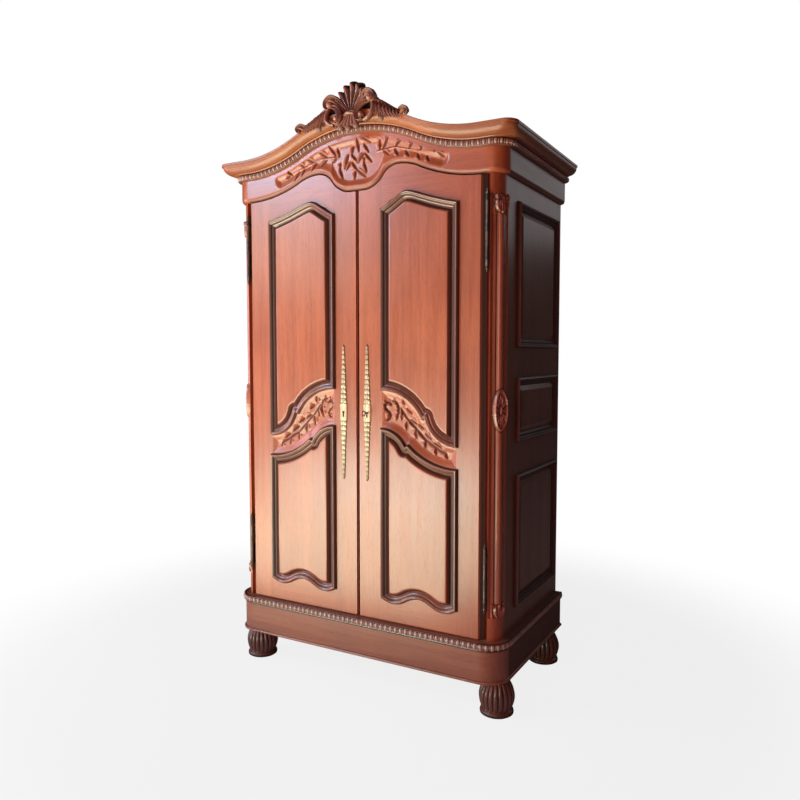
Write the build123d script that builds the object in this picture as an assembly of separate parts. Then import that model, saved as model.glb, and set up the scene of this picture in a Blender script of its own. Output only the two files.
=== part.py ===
from build123d import *
import os
from math import atan2, cos, degrees, radians, sin

# A two-door armoire in carved mahogany. Millimetres, +Z up, the front faces -Y.
# The origin is on the floor, in the middle of the width and of the whole depth.

# Overall driving dimensions
BODY_WIDTH = 1162           # over the outer faces of the side frames
BODY_DEPTH = 680            # from the door fronts to the back boards
FOOT_HEIGHT = 137
PLINTH_HEIGHT = 150
DOOR_BAY_HEIGHT = 1654      # from the top of the base to the frieze at its ends
FRIEZE_HEIGHT = 87
BAND_HEIGHT = 26            # egg-and-dart band under the crown
CROWN_HEIGHT = 44
ARCH_RISE = 118             # how far the cornice rises in the middle
ARCH_HALF_SPAN = 520
CREST_HEIGHT = 115          # shell above the top of the arch

# How far each layer stands out from the one it rests on
PLINTH_PROUD = 22
FRIEZE_PROUD = 17           # over the side frames
FRIEZE_FRONT_PROUD = 6      # over the doors
BAND_PROUD = 18
CORNICE_PROUD = 52
CREST_PROUD = 10

# Clearances
DOOR_GAP = 4                # between the doors, and above and below them
STOP_GAP = 2                # behind the closed doors
RUN_GAP = 0.3               # between parts that turn or slide in one another

# Levels and outer faces that follow from these
Z_DECK = FOOT_HEIGHT + PLINTH_HEIGHT
Z_FRIEZE = Z_DECK + DOOR_BAY_HEIGHT
Z_BAND = Z_FRIEZE + FRIEZE_HEIGHT
Z_CROWN = Z_BAND + BAND_HEIGHT
Z_TOP = Z_CROWN + CROWN_HEIGHT
X_BODY = BODY_WIDTH / 2
X_PLINTH = X_BODY + PLINTH_PROUD
X_FRIEZE = X_BODY + FRIEZE_PROUD
Y_BACK = (BODY_DEPTH + FRIEZE_FRONT_PROUD + CORNICE_PROUD + CREST_PROUD) / 2
Y_FRONT = Y_BACK - BODY_DEPTH
Y_FRIEZE = Y_FRONT - FRIEZE_FRONT_PROUD
Y_CORNICE = Y_FRIEZE - CORNICE_PROUD
Y_CREST = Y_CORNICE - CREST_PROUD
Y_PLINTH = Y_FRONT - PLINTH_PROUD

os.makedirs("parts", exist_ok=True)


def save(name, *solids):
    export_step(solids[0] if len(solids) == 1 else Compound(children=list(solids)), f"parts/{name}.step")


def block(x0, x1, y0, y1, z0, z1):
    return Pos((x0 + x1) / 2, (y0 + y1) / 2, (z0 + z1) / 2) * Box(x1 - x0, y1 - y0, z1 - z0)


def flip(solid):
    return mirror(solid, about=Plane.YZ)


def slab(face, y0, y1):
    """A face drawn in x and z, made solid from y0 back to y1"""
    return extrude(Plane.XZ.offset(-y1) * face, amount=y1 - y0, dir=(0, -1, 0))


def plan(x_half, y_front, radius, y_back=Y_BACK):
    """A rectangle in plan with its two front corners rounded"""
    face = Pos(0, (y_front + y_back) / 2) * Rectangle(2 * x_half, y_back - y_front)
    return fillet(face.vertices().group_by(Axis.Y)[0], radius)


def tier(face, z0, z1):
    return extrude(Pos(0, 0, z0) * face, amount=z1 - z0)


def ogee(start, end, share):
    """Two tangent arcs, level at both ends; share says how far along the chord they meet"""
    start, end = Vector(*start), Vector(*end)
    turn = start + (end - start) * share
    run = Vector(1, 0) if end.X > start.X else Vector(-1, 0)
    return [TangentArc(start, turn, tangent=run), TangentArc(end, turn, tangent=run * -1)]


# Feet: four turned bun feet, each with a spigot that enters its corner block
FOOT_RADIUS = 67
FOOT_TOP_RADIUS = 46
FOOT_SOLE_RADIUS = 56
FOOT_SOLE_HEIGHT = 20
FOOT_COLLAR = 12
FOOT_SOLE_STEP = 4
FOOT_INSET_SIDE = 51        # foot axes inside the base, the doors and the back
FOOT_INSET_FRONT = 78
FOOT_INSET_REAR = 70
SPIGOT_RADIUS = 12
SPIGOT_LENGTH = 40
SPIGOT_END_GAP = 2

FOOT_X = X_PLINTH - FOOT_INSET_SIDE
FOOT_Y_FRONT = Y_FRONT + FOOT_INSET_FRONT
FOOT_Y_REAR = Y_BACK - FOOT_INSET_REAR


def foot(x, y):
    waist = FOOT_HEIGHT - FOOT_COLLAR
    middle = (FOOT_SOLE_HEIGHT + waist) / 2
    neck = FOOT_SOLE_RADIUS - FOOT_SOLE_STEP
    bulge = ThreePointArc((neck, FOOT_SOLE_HEIGHT), (FOOT_RADIUS, middle), (FOOT_TOP_RADIUS, waist))
    sole = Polyline((neck, FOOT_SOLE_HEIGHT), (FOOT_SOLE_RADIUS, FOOT_SOLE_HEIGHT),
                    (FOOT_SOLE_RADIUS, 0), (0, 0), (0, FOOT_HEIGHT + SPIGOT_LENGTH),
                    (SPIGOT_RADIUS, FOOT_HEIGHT + SPIGOT_LENGTH), (SPIGOT_RADIUS, FOOT_HEIGHT),
                    (FOOT_TOP_RADIUS, FOOT_HEIGHT), (FOOT_TOP_RADIUS, waist))
    return Pos(x, y, 0) * revolve(Plane.XZ * make_face([bulge, sole]), Axis.Z)


save("foot_front_left", foot(-FOOT_X, FOOT_Y_FRONT))
save("foot_front_right", foot(FOOT_X, FOOT_Y_FRONT))
save("foot_rear_left", foot(-FOOT_X, FOOT_Y_REAR))
save("foot_rear_right", foot(FOOT_X, FOOT_Y_REAR))

# Base: a front rail with rounded corner returns, side and rear rails, and a floor let in at the top
PLINTH_THICK = 24
PLINTH_RADIUS = 85
PLINTH_RETURN = 20          # straight part of the front rail past its rounded corner
DECK_THICK = 24
BAND_DEPTH_LOW = 31         # height of the carved band round the top of the base
BAND_PROUD_LOW = 7
LIP_HEIGHT = 12
LIP_PROUD = 6
BLOCK_WIDTH = 150
BLOCK_LENGTH = 170
BLOCK_HEIGHT = 60
BLOCK_CLEAR = 2             # front blocks clear the rounded corner by this

x_inside = X_PLINTH - PLINTH_THICK
y_inside = Y_PLINTH + PLINTH_THICK
y_rear_inside = Y_BACK - PLINTH_THICK
inner_radius = PLINTH_RADIUS - PLINTH_THICK
y_return = Y_PLINTH + PLINTH_RADIUS + PLINTH_RETURN
outside = plan(X_PLINTH, Y_PLINTH, PLINTH_RADIUS)
inside = plan(x_inside, y_inside, inner_radius)
shell = tier(outside - inside, FOOT_HEIGHT, Z_DECK)
save("plinth_front", shell & block(-X_PLINTH, X_PLINTH, Y_PLINTH, y_return, FOOT_HEIGHT, Z_DECK))
side_rail = block(x_inside, X_PLINTH, y_return, Y_BACK, FOOT_HEIGHT, Z_DECK)
save("plinth_sides", flip(side_rail), side_rail)
save("plinth_rear", block(-x_inside, x_inside, y_rear_inside, Y_BACK, FOOT_HEIGHT, Z_DECK))
band = plan(X_PLINTH + BAND_PROUD_LOW, Y_PLINTH - BAND_PROUD_LOW, PLINTH_RADIUS + BAND_PROUD_LOW)
save("plinth_carved_band", tier(band - outside, Z_DECK - BAND_DEPTH_LOW, Z_DECK))
lip = plan(X_PLINTH + LIP_PROUD, Y_PLINTH - LIP_PROUD, PLINTH_RADIUS + LIP_PROUD)
save("plinth_lip", tier(lip - outside, FOOT_HEIGHT, FOOT_HEIGHT + LIP_HEIGHT))
deck = plan(x_inside, y_inside, inner_radius, y_rear_inside)
save("base_deck", tier(deck, Z_DECK - DECK_THICK, Z_DECK))


def corner_block(y0, y1, radius, foot_y):
    solid = block(x_inside - BLOCK_WIDTH, x_inside, y0, y1, FOOT_HEIGHT, FOOT_HEIGHT + BLOCK_HEIGHT)
    if radius:
        solid = fillet(solid.edges().filter_by(Axis.Z).group_by(Axis.Y)[0].sort_by(Axis.X)[-1], radius)
    depth = SPIGOT_LENGTH + SPIGOT_END_GAP
    return solid - Pos(FOOT_X, foot_y, FOOT_HEIGHT + depth / 2) * Cylinder(SPIGOT_RADIUS + RUN_GAP, depth)


front_block = corner_block(y_inside, y_inside + BLOCK_LENGTH, inner_radius + BLOCK_CLEAR, FOOT_Y_FRONT)
rear_block = corner_block(y_rear_inside - BLOCK_LENGTH, y_rear_inside, 0, FOOT_Y_REAR)
save("corner_blocks", front_block, flip(front_block), rear_block, flip(rear_block))

# Doors, set out here because posts, frieze and locks all take their places from them
DOOR_THICK = 28
POST_FACE = 39              # front of each post beside its door
HINGE_GAP = 14              # between the post and the door

X_POST = X_BODY - POST_FACE
X_DOOR = X_POST - HINGE_GAP
y_door_back = Y_FRONT + DOOR_THICK
y_stop = y_door_back + STOP_GAP

# Hinges: long barrel hinges, the door half lifting off a pin on the post half, with leaves on both edges
BARREL_PROUD = 3            # hinge axis in front of the door face
PIN_RADIUS = 3.5
PIN_LENGTH = 60
PIN_END_GAP = 4
LEAF_THICK = 2
LEAF_REACH = 30             # from the pin to the far edge of the leaf
LEAF_INSET = 12             # leaf is shorter than its barrel by this at each end
FINIAL = 16
LOW_HINGE = (103, 355)      # above the base
HIGH_HINGE = (340, 52)      # below the frieze

HINGE_SPANS = ([Z_DECK + rise for rise in LOW_HINGE], [Z_FRIEZE - drop for drop in HIGH_HINGE])
HINGE_X = X_DOOR + HINGE_GAP / 2
HINGE_Y = Y_FRONT - BARREL_PROUD
BARREL_RADIUS = HINGE_GAP / 2


def barrel(z0, z1, finial_up):
    solid = Pos(HINGE_X, HINGE_Y, (z0 + z1) / 2) * Cylinder(BARREL_RADIUS, z1 - z0)
    tip = Cone(BARREL_RADIUS, BARREL_RADIUS / 2, FINIAL)
    if finial_up:
        return solid + Pos(HINGE_X, HINGE_Y, z1 + FINIAL / 2) * tip
    return solid + Pos(HINGE_X, HINGE_Y, z0 - FINIAL / 2) * Rot(180, 0, 0) * tip


def hinge_leaf(x0, z0, z1):
    return block(x0, x0 + LEAF_THICK, HINGE_Y, HINGE_Y + LEAF_REACH, z0 + LEAF_INSET, z1 - LEAF_INSET)


def hinge(z0, z1):
    """The post half with its pin, and the door half that sits on it"""
    half = (z0 + z1) / 2
    low, high = (z0 + FINIAL, half), (half + RUN_GAP, z1 - FINIAL)
    pin = Pos(HINGE_X, HINGE_Y, half + PIN_LENGTH / 2) * Cylinder(PIN_RADIUS, PIN_LENGTH)
    bore = Cylinder(PIN_RADIUS + RUN_GAP, PIN_LENGTH + PIN_END_GAP)
    bore = Pos(HINGE_X, HINGE_Y, half + PIN_LENGTH / 2) * bore
    post_half = barrel(*low, False) + hinge_leaf(X_POST - LEAF_THICK, *low) + pin
    door_half = barrel(*high, True) + hinge_leaf(X_DOOR, *high) - bore
    return post_half, door_half


hinges = [hinge(*span) for span in HINGE_SPANS]

# Front posts: rounded outer corner with a stopped flat for the pilaster, and a rebate for the door
POST_WIDTH = 81
POST_DEPTH = 80
POST_RADIUS = 60
FLAT_DEPTH = 14             # of the flat below the rounded corner
PILASTER_RISE = 86          # its foot above the base
PILASTER_DROP = 69          # its cap below the frieze
PILASTER_ANGLE = 62         # of the flat, turned from the front towards the side

PILASTER_SPAN = (Z_DECK + PILASTER_RISE, Z_FRIEZE - PILASTER_DROP)
x_post_inner = X_BODY - POST_WIDTH
y_post_back = Y_FRONT + POST_DEPTH
turned = radians(PILASTER_ANGLE)
along = (cos(turned), sin(turned), 0)
outward = (sin(turned), -cos(turned), 0)
corner = Plane(origin=(X_BODY - POST_RADIUS, Y_FRONT + POST_RADIUS, 0), x_dir=along, z_dir=(0, 0, 1))


def on_corner(across, out0, out1, z0, z1):
    """A block on the turned face of the right front post; out is away from the centre of its rounding"""
    return corner * block(-across / 2, across / 2, -out1, -out0, z0, z1)


flat_out = POST_RADIUS - FLAT_DEPTH
post = block(x_post_inner, X_BODY, Y_FRONT, y_post_back, Z_DECK, Z_FRIEZE)
post = fillet(post.edges().filter_by(Axis.Z).group_by(Axis.Y)[0].sort_by(Axis.X)[-1], POST_RADIUS)
post -= block(x_post_inner, X_POST, Y_FRONT, y_stop, Z_DECK, Z_FRIEZE)
post -= on_corner(3 * POST_RADIUS, flat_out, flat_out + 2 * POST_RADIUS, *PILASTER_SPAN)
save("post_front_right", post)
save("post_front_left", flip(post))

# Pilasters: a half column with leaf cap and foot and an oval medallion, on a backing strip
PILASTER_WIDTH = 62
PILASTER_BACK = 3
COLUMN_RADIUS = 17
CAP_HEIGHT = 64
CAP_PROUD = 22
CAP_WIDTH = 58
PILASTER_FOOT = 47
MEDALLION_WIDTH = 62
MEDALLION_HEIGHT = 152
MEDALLION_PROUD = 24
MEDALLION_RISE = 831        # its middle above the base

MEDALLION_Z = Z_DECK + MEDALLION_RISE
low, high = PILASTER_SPAN
strip = on_corner(PILASTER_WIDTH, flat_out, flat_out + PILASTER_BACK, low, high)
column = corner * Pos(0, -flat_out - PILASTER_BACK, (low + high) / 2) * Cylinder(COLUMN_RADIUS, high - low)
column &= on_corner(PILASTER_WIDTH, flat_out, flat_out + 2 * COLUMN_RADIUS, low, high)
cap = on_corner(CAP_WIDTH, flat_out, flat_out + CAP_PROUD, high - CAP_HEIGHT, high)
base = on_corner(CAP_WIDTH, flat_out, flat_out + CAP_PROUD, low, low + PILASTER_FOOT)
facing = Plane(origin=(corner * Pos(0, -flat_out, MEDALLION_Z)).position, x_dir=along, z_dir=outward)
medallion = extrude(facing * Ellipse(MEDALLION_WIDTH / 2, MEDALLION_HEIGHT / 2), amount=MEDALLION_PROUD)
pilaster = strip + column + cap + base + medallion
save("pilaster_right", pilaster)
save("pilaster_left", flip(pilaster))

# Side frames: a wide front stile, four rails and a rear post hold three raised panels
SIDE_THICK = 26
FRONT_STILE = 96
REAR_POST_WIDTH = 46
REAR_POST_DEPTH = 55
SIDE_LOW = (90, 577)        # panel openings above the base
SIDE_MIDDLE = (712, 937)
SIDE_HIGH = (1060, DOOR_BAY_HEIGHT - 79)
PANEL_SET_BACK = 5          # panel edge behind the frame face
PANEL_THICK = 10
TONGUE = 10
GROOVE = 11
MOULD_LAP = 8               # moulding over the frame
MOULD_INNER = 24            # moulding over the panel
MOULD_LOW = 9               # height of its outer step
MOULD_HIGH = 14             # height of its crest
CREST_OUTER = 1             # crest of the moulding, from the edge of the opening
CREST_INNER = 20
FIELD_MARGIN = 2            # panel margin that shows inside the moulding
FIELD_RISE = 9              # raised field above the panel edge
FIELD_BEVEL = 18
BOARD_THICK = 14            # back boards
BOARD_REBATE = 20

SIDE_OPENINGS = [(Z_DECK + foot, Z_DECK + head) for foot, head in (SIDE_LOW, SIDE_MIDDLE, SIDE_HIGH)]
x_side_inner = X_BODY - SIDE_THICK
y_open_front = y_post_back + FRONT_STILE
y_open_rear = Y_BACK - REAR_POST_DEPTH
x_tongue = X_BODY - PANEL_SET_BACK
y_boards = Y_BACK - BOARD_THICK


def side_span(z0, z1, grow, x0, x1):
    """A block as large as a side opening, grown all round, between two x planes"""
    return block(x0, x1, y_open_front - grow, y_open_rear + grow, z0 - grow, z1 + grow)


def side_panel(z0, z1):
    def edge(inset, x):
        width = y_open_rear - y_open_front - 2 * inset
        centre = (x, (y_open_front + y_open_rear) / 2, (z0 + z1) / 2)
        return Plane(origin=centre, x_dir=(0, 1, 0), z_dir=(1, 0, 0)) * Rectangle(width, z1 - z0 - 2 * inset)

    panel = side_span(z0, z1, TONGUE, x_tongue - PANEL_THICK, x_tongue)
    margin = MOULD_INNER + FIELD_MARGIN
    return panel + loft([edge(margin, x_tongue), edge(margin + FIELD_BEVEL, x_tongue + FIELD_RISE)])


def side_moulding(z0, z1):
    low_step = side_span(z0, z1, MOULD_LAP, X_BODY, X_BODY + MOULD_LOW)
    x_crest = X_BODY + MOULD_HIGH
    crest = side_span(z0, z1, -CREST_OUTER, X_BODY, x_crest)
    crest -= side_span(z0, z1, -CREST_INNER, X_BODY, x_crest)
    inner_leg = side_span(z0, z1, 0, x_tongue, X_BODY)
    return low_step + inner_leg - side_span(z0, z1, -MOULD_INNER, x_tongue, x_crest) + crest


levels = [Z_DECK] + [z for span in SIDE_OPENINGS for z in span] + [Z_FRIEZE]
frame = [block(x_side_inner, X_BODY, y_post_back, y_open_front, Z_DECK, Z_FRIEZE)]
for z0, z1 in zip(levels[0::2], levels[1::2]):
    frame.append(block(x_side_inner, X_BODY, y_open_front, y_open_rear, z0, z1))
x_rear_post = X_BODY - REAR_POST_WIDTH
rear_post = block(x_rear_post, X_BODY, y_open_rear, Y_BACK, Z_DECK, Z_FRIEZE)
rear_post -= block(x_rear_post, x_rear_post + BOARD_REBATE, y_boards, Y_BACK, Z_DECK, Z_FRIEZE)
for z0, z1 in SIDE_OPENINGS:
    groove = side_span(z0, z1, GROOVE, x_tongue - PANEL_THICK, x_tongue)
    frame = [piece - groove for piece in frame]
    rear_post -= groove
panels = [side_panel(*span) for span in SIDE_OPENINGS]
mouldings = [side_moulding(*span) for span in SIDE_OPENINGS]
save("side_frame_right", *frame)
save("side_frame_left", *[flip(piece) for piece in frame])
save("side_panels_right", *panels)
save("side_panels_left", *[flip(piece) for piece in panels])
save("side_mouldings_right", *mouldings)
save("side_mouldings_left", *[flip(piece) for piece in mouldings])
save("posts_rear", flip(rear_post), rear_post)

# Frieze: a thick board with a shaped lower edge and a sunk, carved middle, and two plain side boards
FRIEZE_THICK = Y_FRONT + DOOR_THICK + STOP_GAP - Y_FRIEZE
FRIEZE_SIDE_THICK = 29
CORNER_RADIUS = 65          # of the frieze in plan
BAND_RADIUS = 66
CROWN_RADIUS = 45
FRIEZE_BEVEL = 16
PENDANT_HALF = 30
PENDANT_DROP = 4            # below the level ends
PEAK_X = 180
PEAK_RISE = 76              # above the level ends
EAVE_X = 516                # from here out the lower edge is level
SINK_DEPTH = 6              # ground of the carving below the frieze face
SINK_MARGIN = 18
LEAF_RELIEF = 5
SINK_END = 28               # half height of the sunk ground at its rounded ends
SINK_ROUND = 26
SINK_END_X = 385
SINK_END_RISE = 68          # of those ends above the level part of the lower edge
BRANCH = ((84, 104), (170, 120), (340, 76))     # each branch, from the middle and above the level ends
BRANCH_PAIRS = 7
BRANCH_ANGLE = 27
BRANCH_LEAF = (28, 11)      # length and width
HANGING_PAIRS = 4           # leaf pairs that hang in the middle
HANGING_PITCH = 24
HANGING_DROP = 56           # first pair below the top of the arch
HANGING_ANGLE = 48
HANGING_LEAF = (42, 13)
STEM_GAP = 7                # between a leaf and the line of its stem

x_corner = X_FRIEZE - CORNER_RADIUS
y_corner = Y_FRIEZE + CORNER_RADIUS
x_frieze_inner = X_FRIEZE - FRIEZE_SIDE_THICK


def shaped_edge(drop, x_start):
    """Half of the frieze's lower edge, from x_start out to the level end, lowered by drop"""
    level = Z_FRIEZE - drop
    foot_end, peak, eave = (PENDANT_HALF, level - PENDANT_DROP), (PEAK_X, level + PEAK_RISE), (EAVE_X, level)
    flat = Line((x_start, level - PENDANT_DROP), foot_end)
    return [flat, *ogee(foot_end, peak, 0.57), *ogee(peak, eave, 0.25)]


def arch_edge(level):
    """Half of the cornice arch over the given level, from the middle out to where it runs level"""
    return ogee((0, level + ARCH_RISE), (ARCH_HALF_SPAN, level), 0.5)


def half_front(lower, upper, x_half):
    """Face between two half edges, closed at the middle and at x_half, with its mirror image"""
    z0, z1 = lower[-1] @ 0, upper[-1] @ 0
    ends = [Line(z0, (x_half, z0.Y)), Line((x_half, z0.Y), (x_half, z1.Y)), Line((x_half, z1.Y), z1)]
    middle = Line(lower[0] @ 0, upper[0] @ 0)
    face = make_face([*lower, *ends, *upper, middle])
    return face + mirror(face, about=Plane.YZ)


def front_run(face, proud, radius):
    """The front of a frieze or cornice layer, with its overhang and the radius of its corners"""
    outer = plan(X_FRIEZE + proud, Y_FRIEZE - proud, radius)
    hollow = Pos(0, Y_FRIEZE + FRIEZE_THICK + Y_BACK / 2) * Rectangle(2 * x_corner, Y_BACK)
    layer = tier(outer - hollow, Z_DECK, Z_TOP + 2 * ARCH_RISE)
    return layer & slab(face, Y_FRIEZE - proud, y_corner)


def side_run(z0, z1, proud):
    return block(x_frieze_inner, X_FRIEZE + proud, y_corner, Y_BACK, z0, z1)


def leaf(point, angle, length, width):
    """Outline of a slim leaf that springs a little away from a point on its stem"""
    tip = STEM_GAP + length
    middle = STEM_GAP + length / 2
    rise = ThreePointArc((STEM_GAP, 0), (middle, width / 2), (tip, 0))
    fall = ThreePointArc((STEM_GAP, 0), (middle, -width / 2), (tip, 0))
    return Pos(point.X, point.Y) * Rot(0, 0, angle) * make_face([rise, fall])


def carve(board, sink, leaves, y_face):
    """Sink a ground into a board and leave the leaves standing on it"""
    y_ground = y_face + SINK_DEPTH
    board -= slab(sink, y_face, y_ground)
    return board + [slab(outline, y_ground - LEAF_RELIEF, y_ground) for outline in leaves]


frieze_face = half_front(shaped_edge(0, 0), arch_edge(Z_BAND), X_FRIEZE)
frieze = front_run(frieze_face, 0, CORNER_RADIUS)
z_end = Z_FRIEZE + SINK_END_RISE
z_end_high, z_end_low = z_end + SINK_END, z_end - SINK_END
sink_outline = Polygon((-SINK_END_X, z_end_high), (0, Z_BAND + ARCH_RISE), (SINK_END_X, z_end_high),
                       (SINK_END_X, z_end_low), (0, Z_FRIEZE - FRIEZE_HEIGHT), (-SINK_END_X, z_end_low),
                       align=None)
ends = sink_outline.vertices().group_by(Axis.X)
sink = fillet(ends[0] + ends[-1], SINK_ROUND) & offset(frieze_face, -SINK_MARGIN)
branch = ThreePointArc(*[(x, Z_FRIEZE + rise) for x, rise in BRANCH])
leaves = []
for step in range(BRANCH_PAIRS):
    share = step / BRANCH_PAIRS
    direction = branch % share
    lean = degrees(atan2(direction.Y, direction.X))
    for turn in (-BRANCH_ANGLE, BRANCH_ANGLE):
        leaves.append(leaf(branch @ share, lean + turn, *BRANCH_LEAF))
for step in range(HANGING_PAIRS):
    point = Vector(0, Z_BAND + ARCH_RISE - HANGING_DROP - HANGING_PITCH * step)
    leaves.append(leaf(point, -HANGING_ANGLE, *HANGING_LEAF))
leaves += [mirror(outline, about=Plane.YZ) for outline in leaves]
save("frieze_front", carve(frieze, sink, leaves, Y_FRIEZE))
frieze_side = side_run(Z_FRIEZE, Z_BAND, 0)
low_edge = frieze_side.edges().filter_by(Axis.Y).group_by(Axis.Z)[0].sort_by(Axis.X)[-1]
frieze_side = chamfer(low_edge, FRIEZE_BEVEL)
save("frieze_sides", flip(frieze_side), frieze_side)

# Cornice: the egg-and-dart band and, above it, the crown; both are arched at the front
OVOLO = 34                  # rounding of the crown's lower edge

x_end = X_FRIEZE + CORNICE_PROUD
band_front = front_run(half_front(arch_edge(Z_BAND), arch_edge(Z_CROWN), x_end), BAND_PROUD, BAND_RADIUS)
band_side = side_run(Z_BAND, Z_CROWN, BAND_PROUD)
save("cornice_band", band_front, flip(band_side), band_side)
crown_face = half_front(arch_edge(Z_CROWN), arch_edge(Z_TOP), x_end)
save("cornice_front", front_run(crown_face, CORNICE_PROUD, CROWN_RADIUS))
crown_side = side_run(Z_CROWN, Z_TOP, CORNICE_PROUD)
low_edge = crown_side.edges().filter_by(Axis.Y).group_by(Axis.Z)[0].sort_by(Axis.X)[-1]
crown_side = fillet(low_edge, OVOLO)
save("cornice_sides", flip(crown_side), crown_side)

# Crest: a shell with scrolls that stands on the arch and hangs over its front, and two leaves beside it
SHELL_RADIUS = 69
SCROLL_RADIUS = 36
SCROLL_X = 78
SCROLL_RISE = 18            # of the scrolls above the top of the arch
EYE_RADIUS = 16
EYE_X = 70
EYE_DROP = 14
TIP_RADIUS = 27
TIP_DROP = 74               # lowest point below the top of the arch
CREST_BACK = 40             # depth of the shell over the crown
CREST_LEAF = (118, 240)
CREST_LEAF_RISE = 24
APRON_RISE = 24             # top of the apron, which hangs in front of the crown

z_arch = Z_TOP + ARCH_RISE
z_tip = z_arch - TIP_DROP + TIP_RADIUS
z_shell = z_arch + CREST_HEIGHT - SHELL_RADIUS
shell_face = Pos(0, z_shell) * Circle(SHELL_RADIUS) + Pos(0, z_tip) * Circle(TIP_RADIUS)
shell_face += Pos(0, (z_tip + z_shell) / 2) * Rectangle(2 * TIP_RADIUS, z_shell - z_tip)
for side in (-1, 1):
    shell_face += Pos(side * SCROLL_X, z_arch + SCROLL_RISE) * Circle(SCROLL_RADIUS)
    shell_face += Pos(side * EYE_X, z_arch - EYE_DROP) * Circle(EYE_RADIUS)
above_arch = half_front(arch_edge(Z_TOP), arch_edge(Z_TOP + 2 * CREST_HEIGHT), x_end)
apron = shell_face & Pos(0, z_arch + APRON_RISE - TIP_DROP) * Rectangle(2 * X_BODY, 2 * TIP_DROP)
crest = slab(apron, Y_CREST, Y_CORNICE)
crest += slab(shell_face & above_arch, Y_CORNICE, Y_CORNICE + CREST_BACK)
save("crest_shell", crest)
leaf_start, leaf_end = CREST_LEAF
spray_face = half_front(arch_edge(Z_TOP), arch_edge(Z_TOP + CREST_LEAF_RISE), x_end)
spray_face &= Pos((leaf_start + leaf_end) / 2, z_arch) * Rectangle(leaf_end - leaf_start, 4 * ARCH_RISE)
spray = slab(spray_face, Y_CORNICE, Y_CORNICE + CREST_BACK)
save("crest_leaves", flip(spray), spray)

# Roof, back and threshold: boards that close the carcass
TOP_THICK = 20
TOP_DROP = 4                # roof below the top of the frieze boards
BOARD_COUNT = 4
BOARD_GAP = 1
THRESHOLD_HEIGHT = 32
THRESHOLD_THICK = 22

z_roof = Z_BAND - TOP_DROP
roof = block(-x_frieze_inner, x_frieze_inner, y_corner, y_boards, z_roof - TOP_THICK, z_roof)
save("top_board", roof + block(-x_corner, x_corner, y_stop, y_corner, z_roof - TOP_THICK, z_roof))
boards_half = x_rear_post + BOARD_REBATE
board_width = (2 * boards_half - (BOARD_COUNT - 1) * BOARD_GAP) / BOARD_COUNT
boards = []
for index in range(BOARD_COUNT):
    x0 = -boards_half + index * (board_width + BOARD_GAP)
    boards.append(block(x0, x0 + board_width, y_boards, Y_BACK, Z_DECK, z_roof))
save("back_boards", *boards)

# Inside fittings: a hat shelf on two cleats, and a hanging rail let into the cleats
SHELF_RISE = 1400           # above the base
SHELF_THICK = 20
SHELF_SET_BACK = 6          # shelf behind the front posts
CLEAT_THICK = 20
CLEAT_HEIGHT = 90
RAIL_RADIUS = 15
RAIL_DROP = 55              # rail axis below the shelf
RAIL_Y = 50
RAIL_SEAT = 12

SHELF_Z = Z_DECK + SHELF_RISE
x_cleat = x_side_inner - CLEAT_THICK
y_shelf = y_post_back + SHELF_SET_BACK
save("hat_shelf", block(-x_side_inner, x_side_inner, y_shelf, y_open_rear, SHELF_Z, SHELF_Z + SHELF_THICK))
x_rail = x_cleat + RAIL_SEAT
rail_line = Pos(0, RAIL_Y, SHELF_Z - RAIL_DROP) * Rot(0, 90, 0)
save("hanging_rail", rail_line * Cylinder(RAIL_RADIUS, 2 * x_rail))
cleat = block(x_cleat, x_side_inner, y_shelf, y_open_rear, SHELF_Z - CLEAT_HEIGHT, SHELF_Z)
cleat -= rail_line * Cylinder(RAIL_RADIUS + RUN_GAP, 2 * x_rail)
save("shelf_cleats", flip(cleat), cleat)

# Door panels: outlines of the two openings in the right door, lock side first
LOCK_STILE = 108
HINGE_STILE = 108
UPPER_DROPS = (88, 38, 94)          # lock corner, peak and hinge corner below the frieze
UPPER_RISES = (899, 796, 700)       # lock corner, cusp and hinge corner above the base
LOWER_RISES = (742, 682, 608)       # lock corner, cusp and hinge corner above the base
BOTTOM_RISES = (98, 82, 116)        # corners, dips and middle peak above the base
PEAK_SHARE = 0.33                   # across the opening, from the lock stile
UPPER_CUSP_SHARE = 0.59
LOWER_CUSP_SHARE = 0.345
DIP_SHARE = 0.155

UPPER_TOP = [Z_FRIEZE - drop for drop in UPPER_DROPS]
UPPER_BOTTOM = [Z_DECK + rise for rise in UPPER_RISES]
LOWER_TOP = [Z_DECK + rise for rise in LOWER_RISES]
LOWER_BOTTOM = [Z_DECK + rise for rise in BOTTOM_RISES]
x_lock = DOOR_GAP / 2
x_open = x_lock + LOCK_STILE
x_close = X_DOOR - HINGE_STILE
opening = x_close - x_open
z_door = Z_DECK + DOOR_GAP


def across(share):
    return x_open + opening * share


def swept_edge(levels, share):
    """Level at both ends, with a cusp between a round arc and a hollow arc"""
    start, cusp, end = (x_open, levels[0]), (across(share), levels[1]), (x_close, levels[2])
    return [TangentArc(start, cusp, tangent=(1, 0)), TangentArc(end, cusp, tangent=(-1, 0))]


def upper_outline():
    peak = (across(PEAK_SHARE), UPPER_TOP[1])
    crown = TangentArc(peak, (x_open, UPPER_TOP[0]), tangent=(-1, 0))
    fall = ogee(peak, (x_close, UPPER_TOP[2]), 0.4)
    sides = [Line((x_open, UPPER_BOTTOM[0]), (x_open, UPPER_TOP[0])),
             Line((x_close, UPPER_BOTTOM[2]), (x_close, UPPER_TOP[2]))]
    return make_face([crown, *fall, *sides, *swept_edge(UPPER_BOTTOM, UPPER_CUSP_SHARE)])


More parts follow.
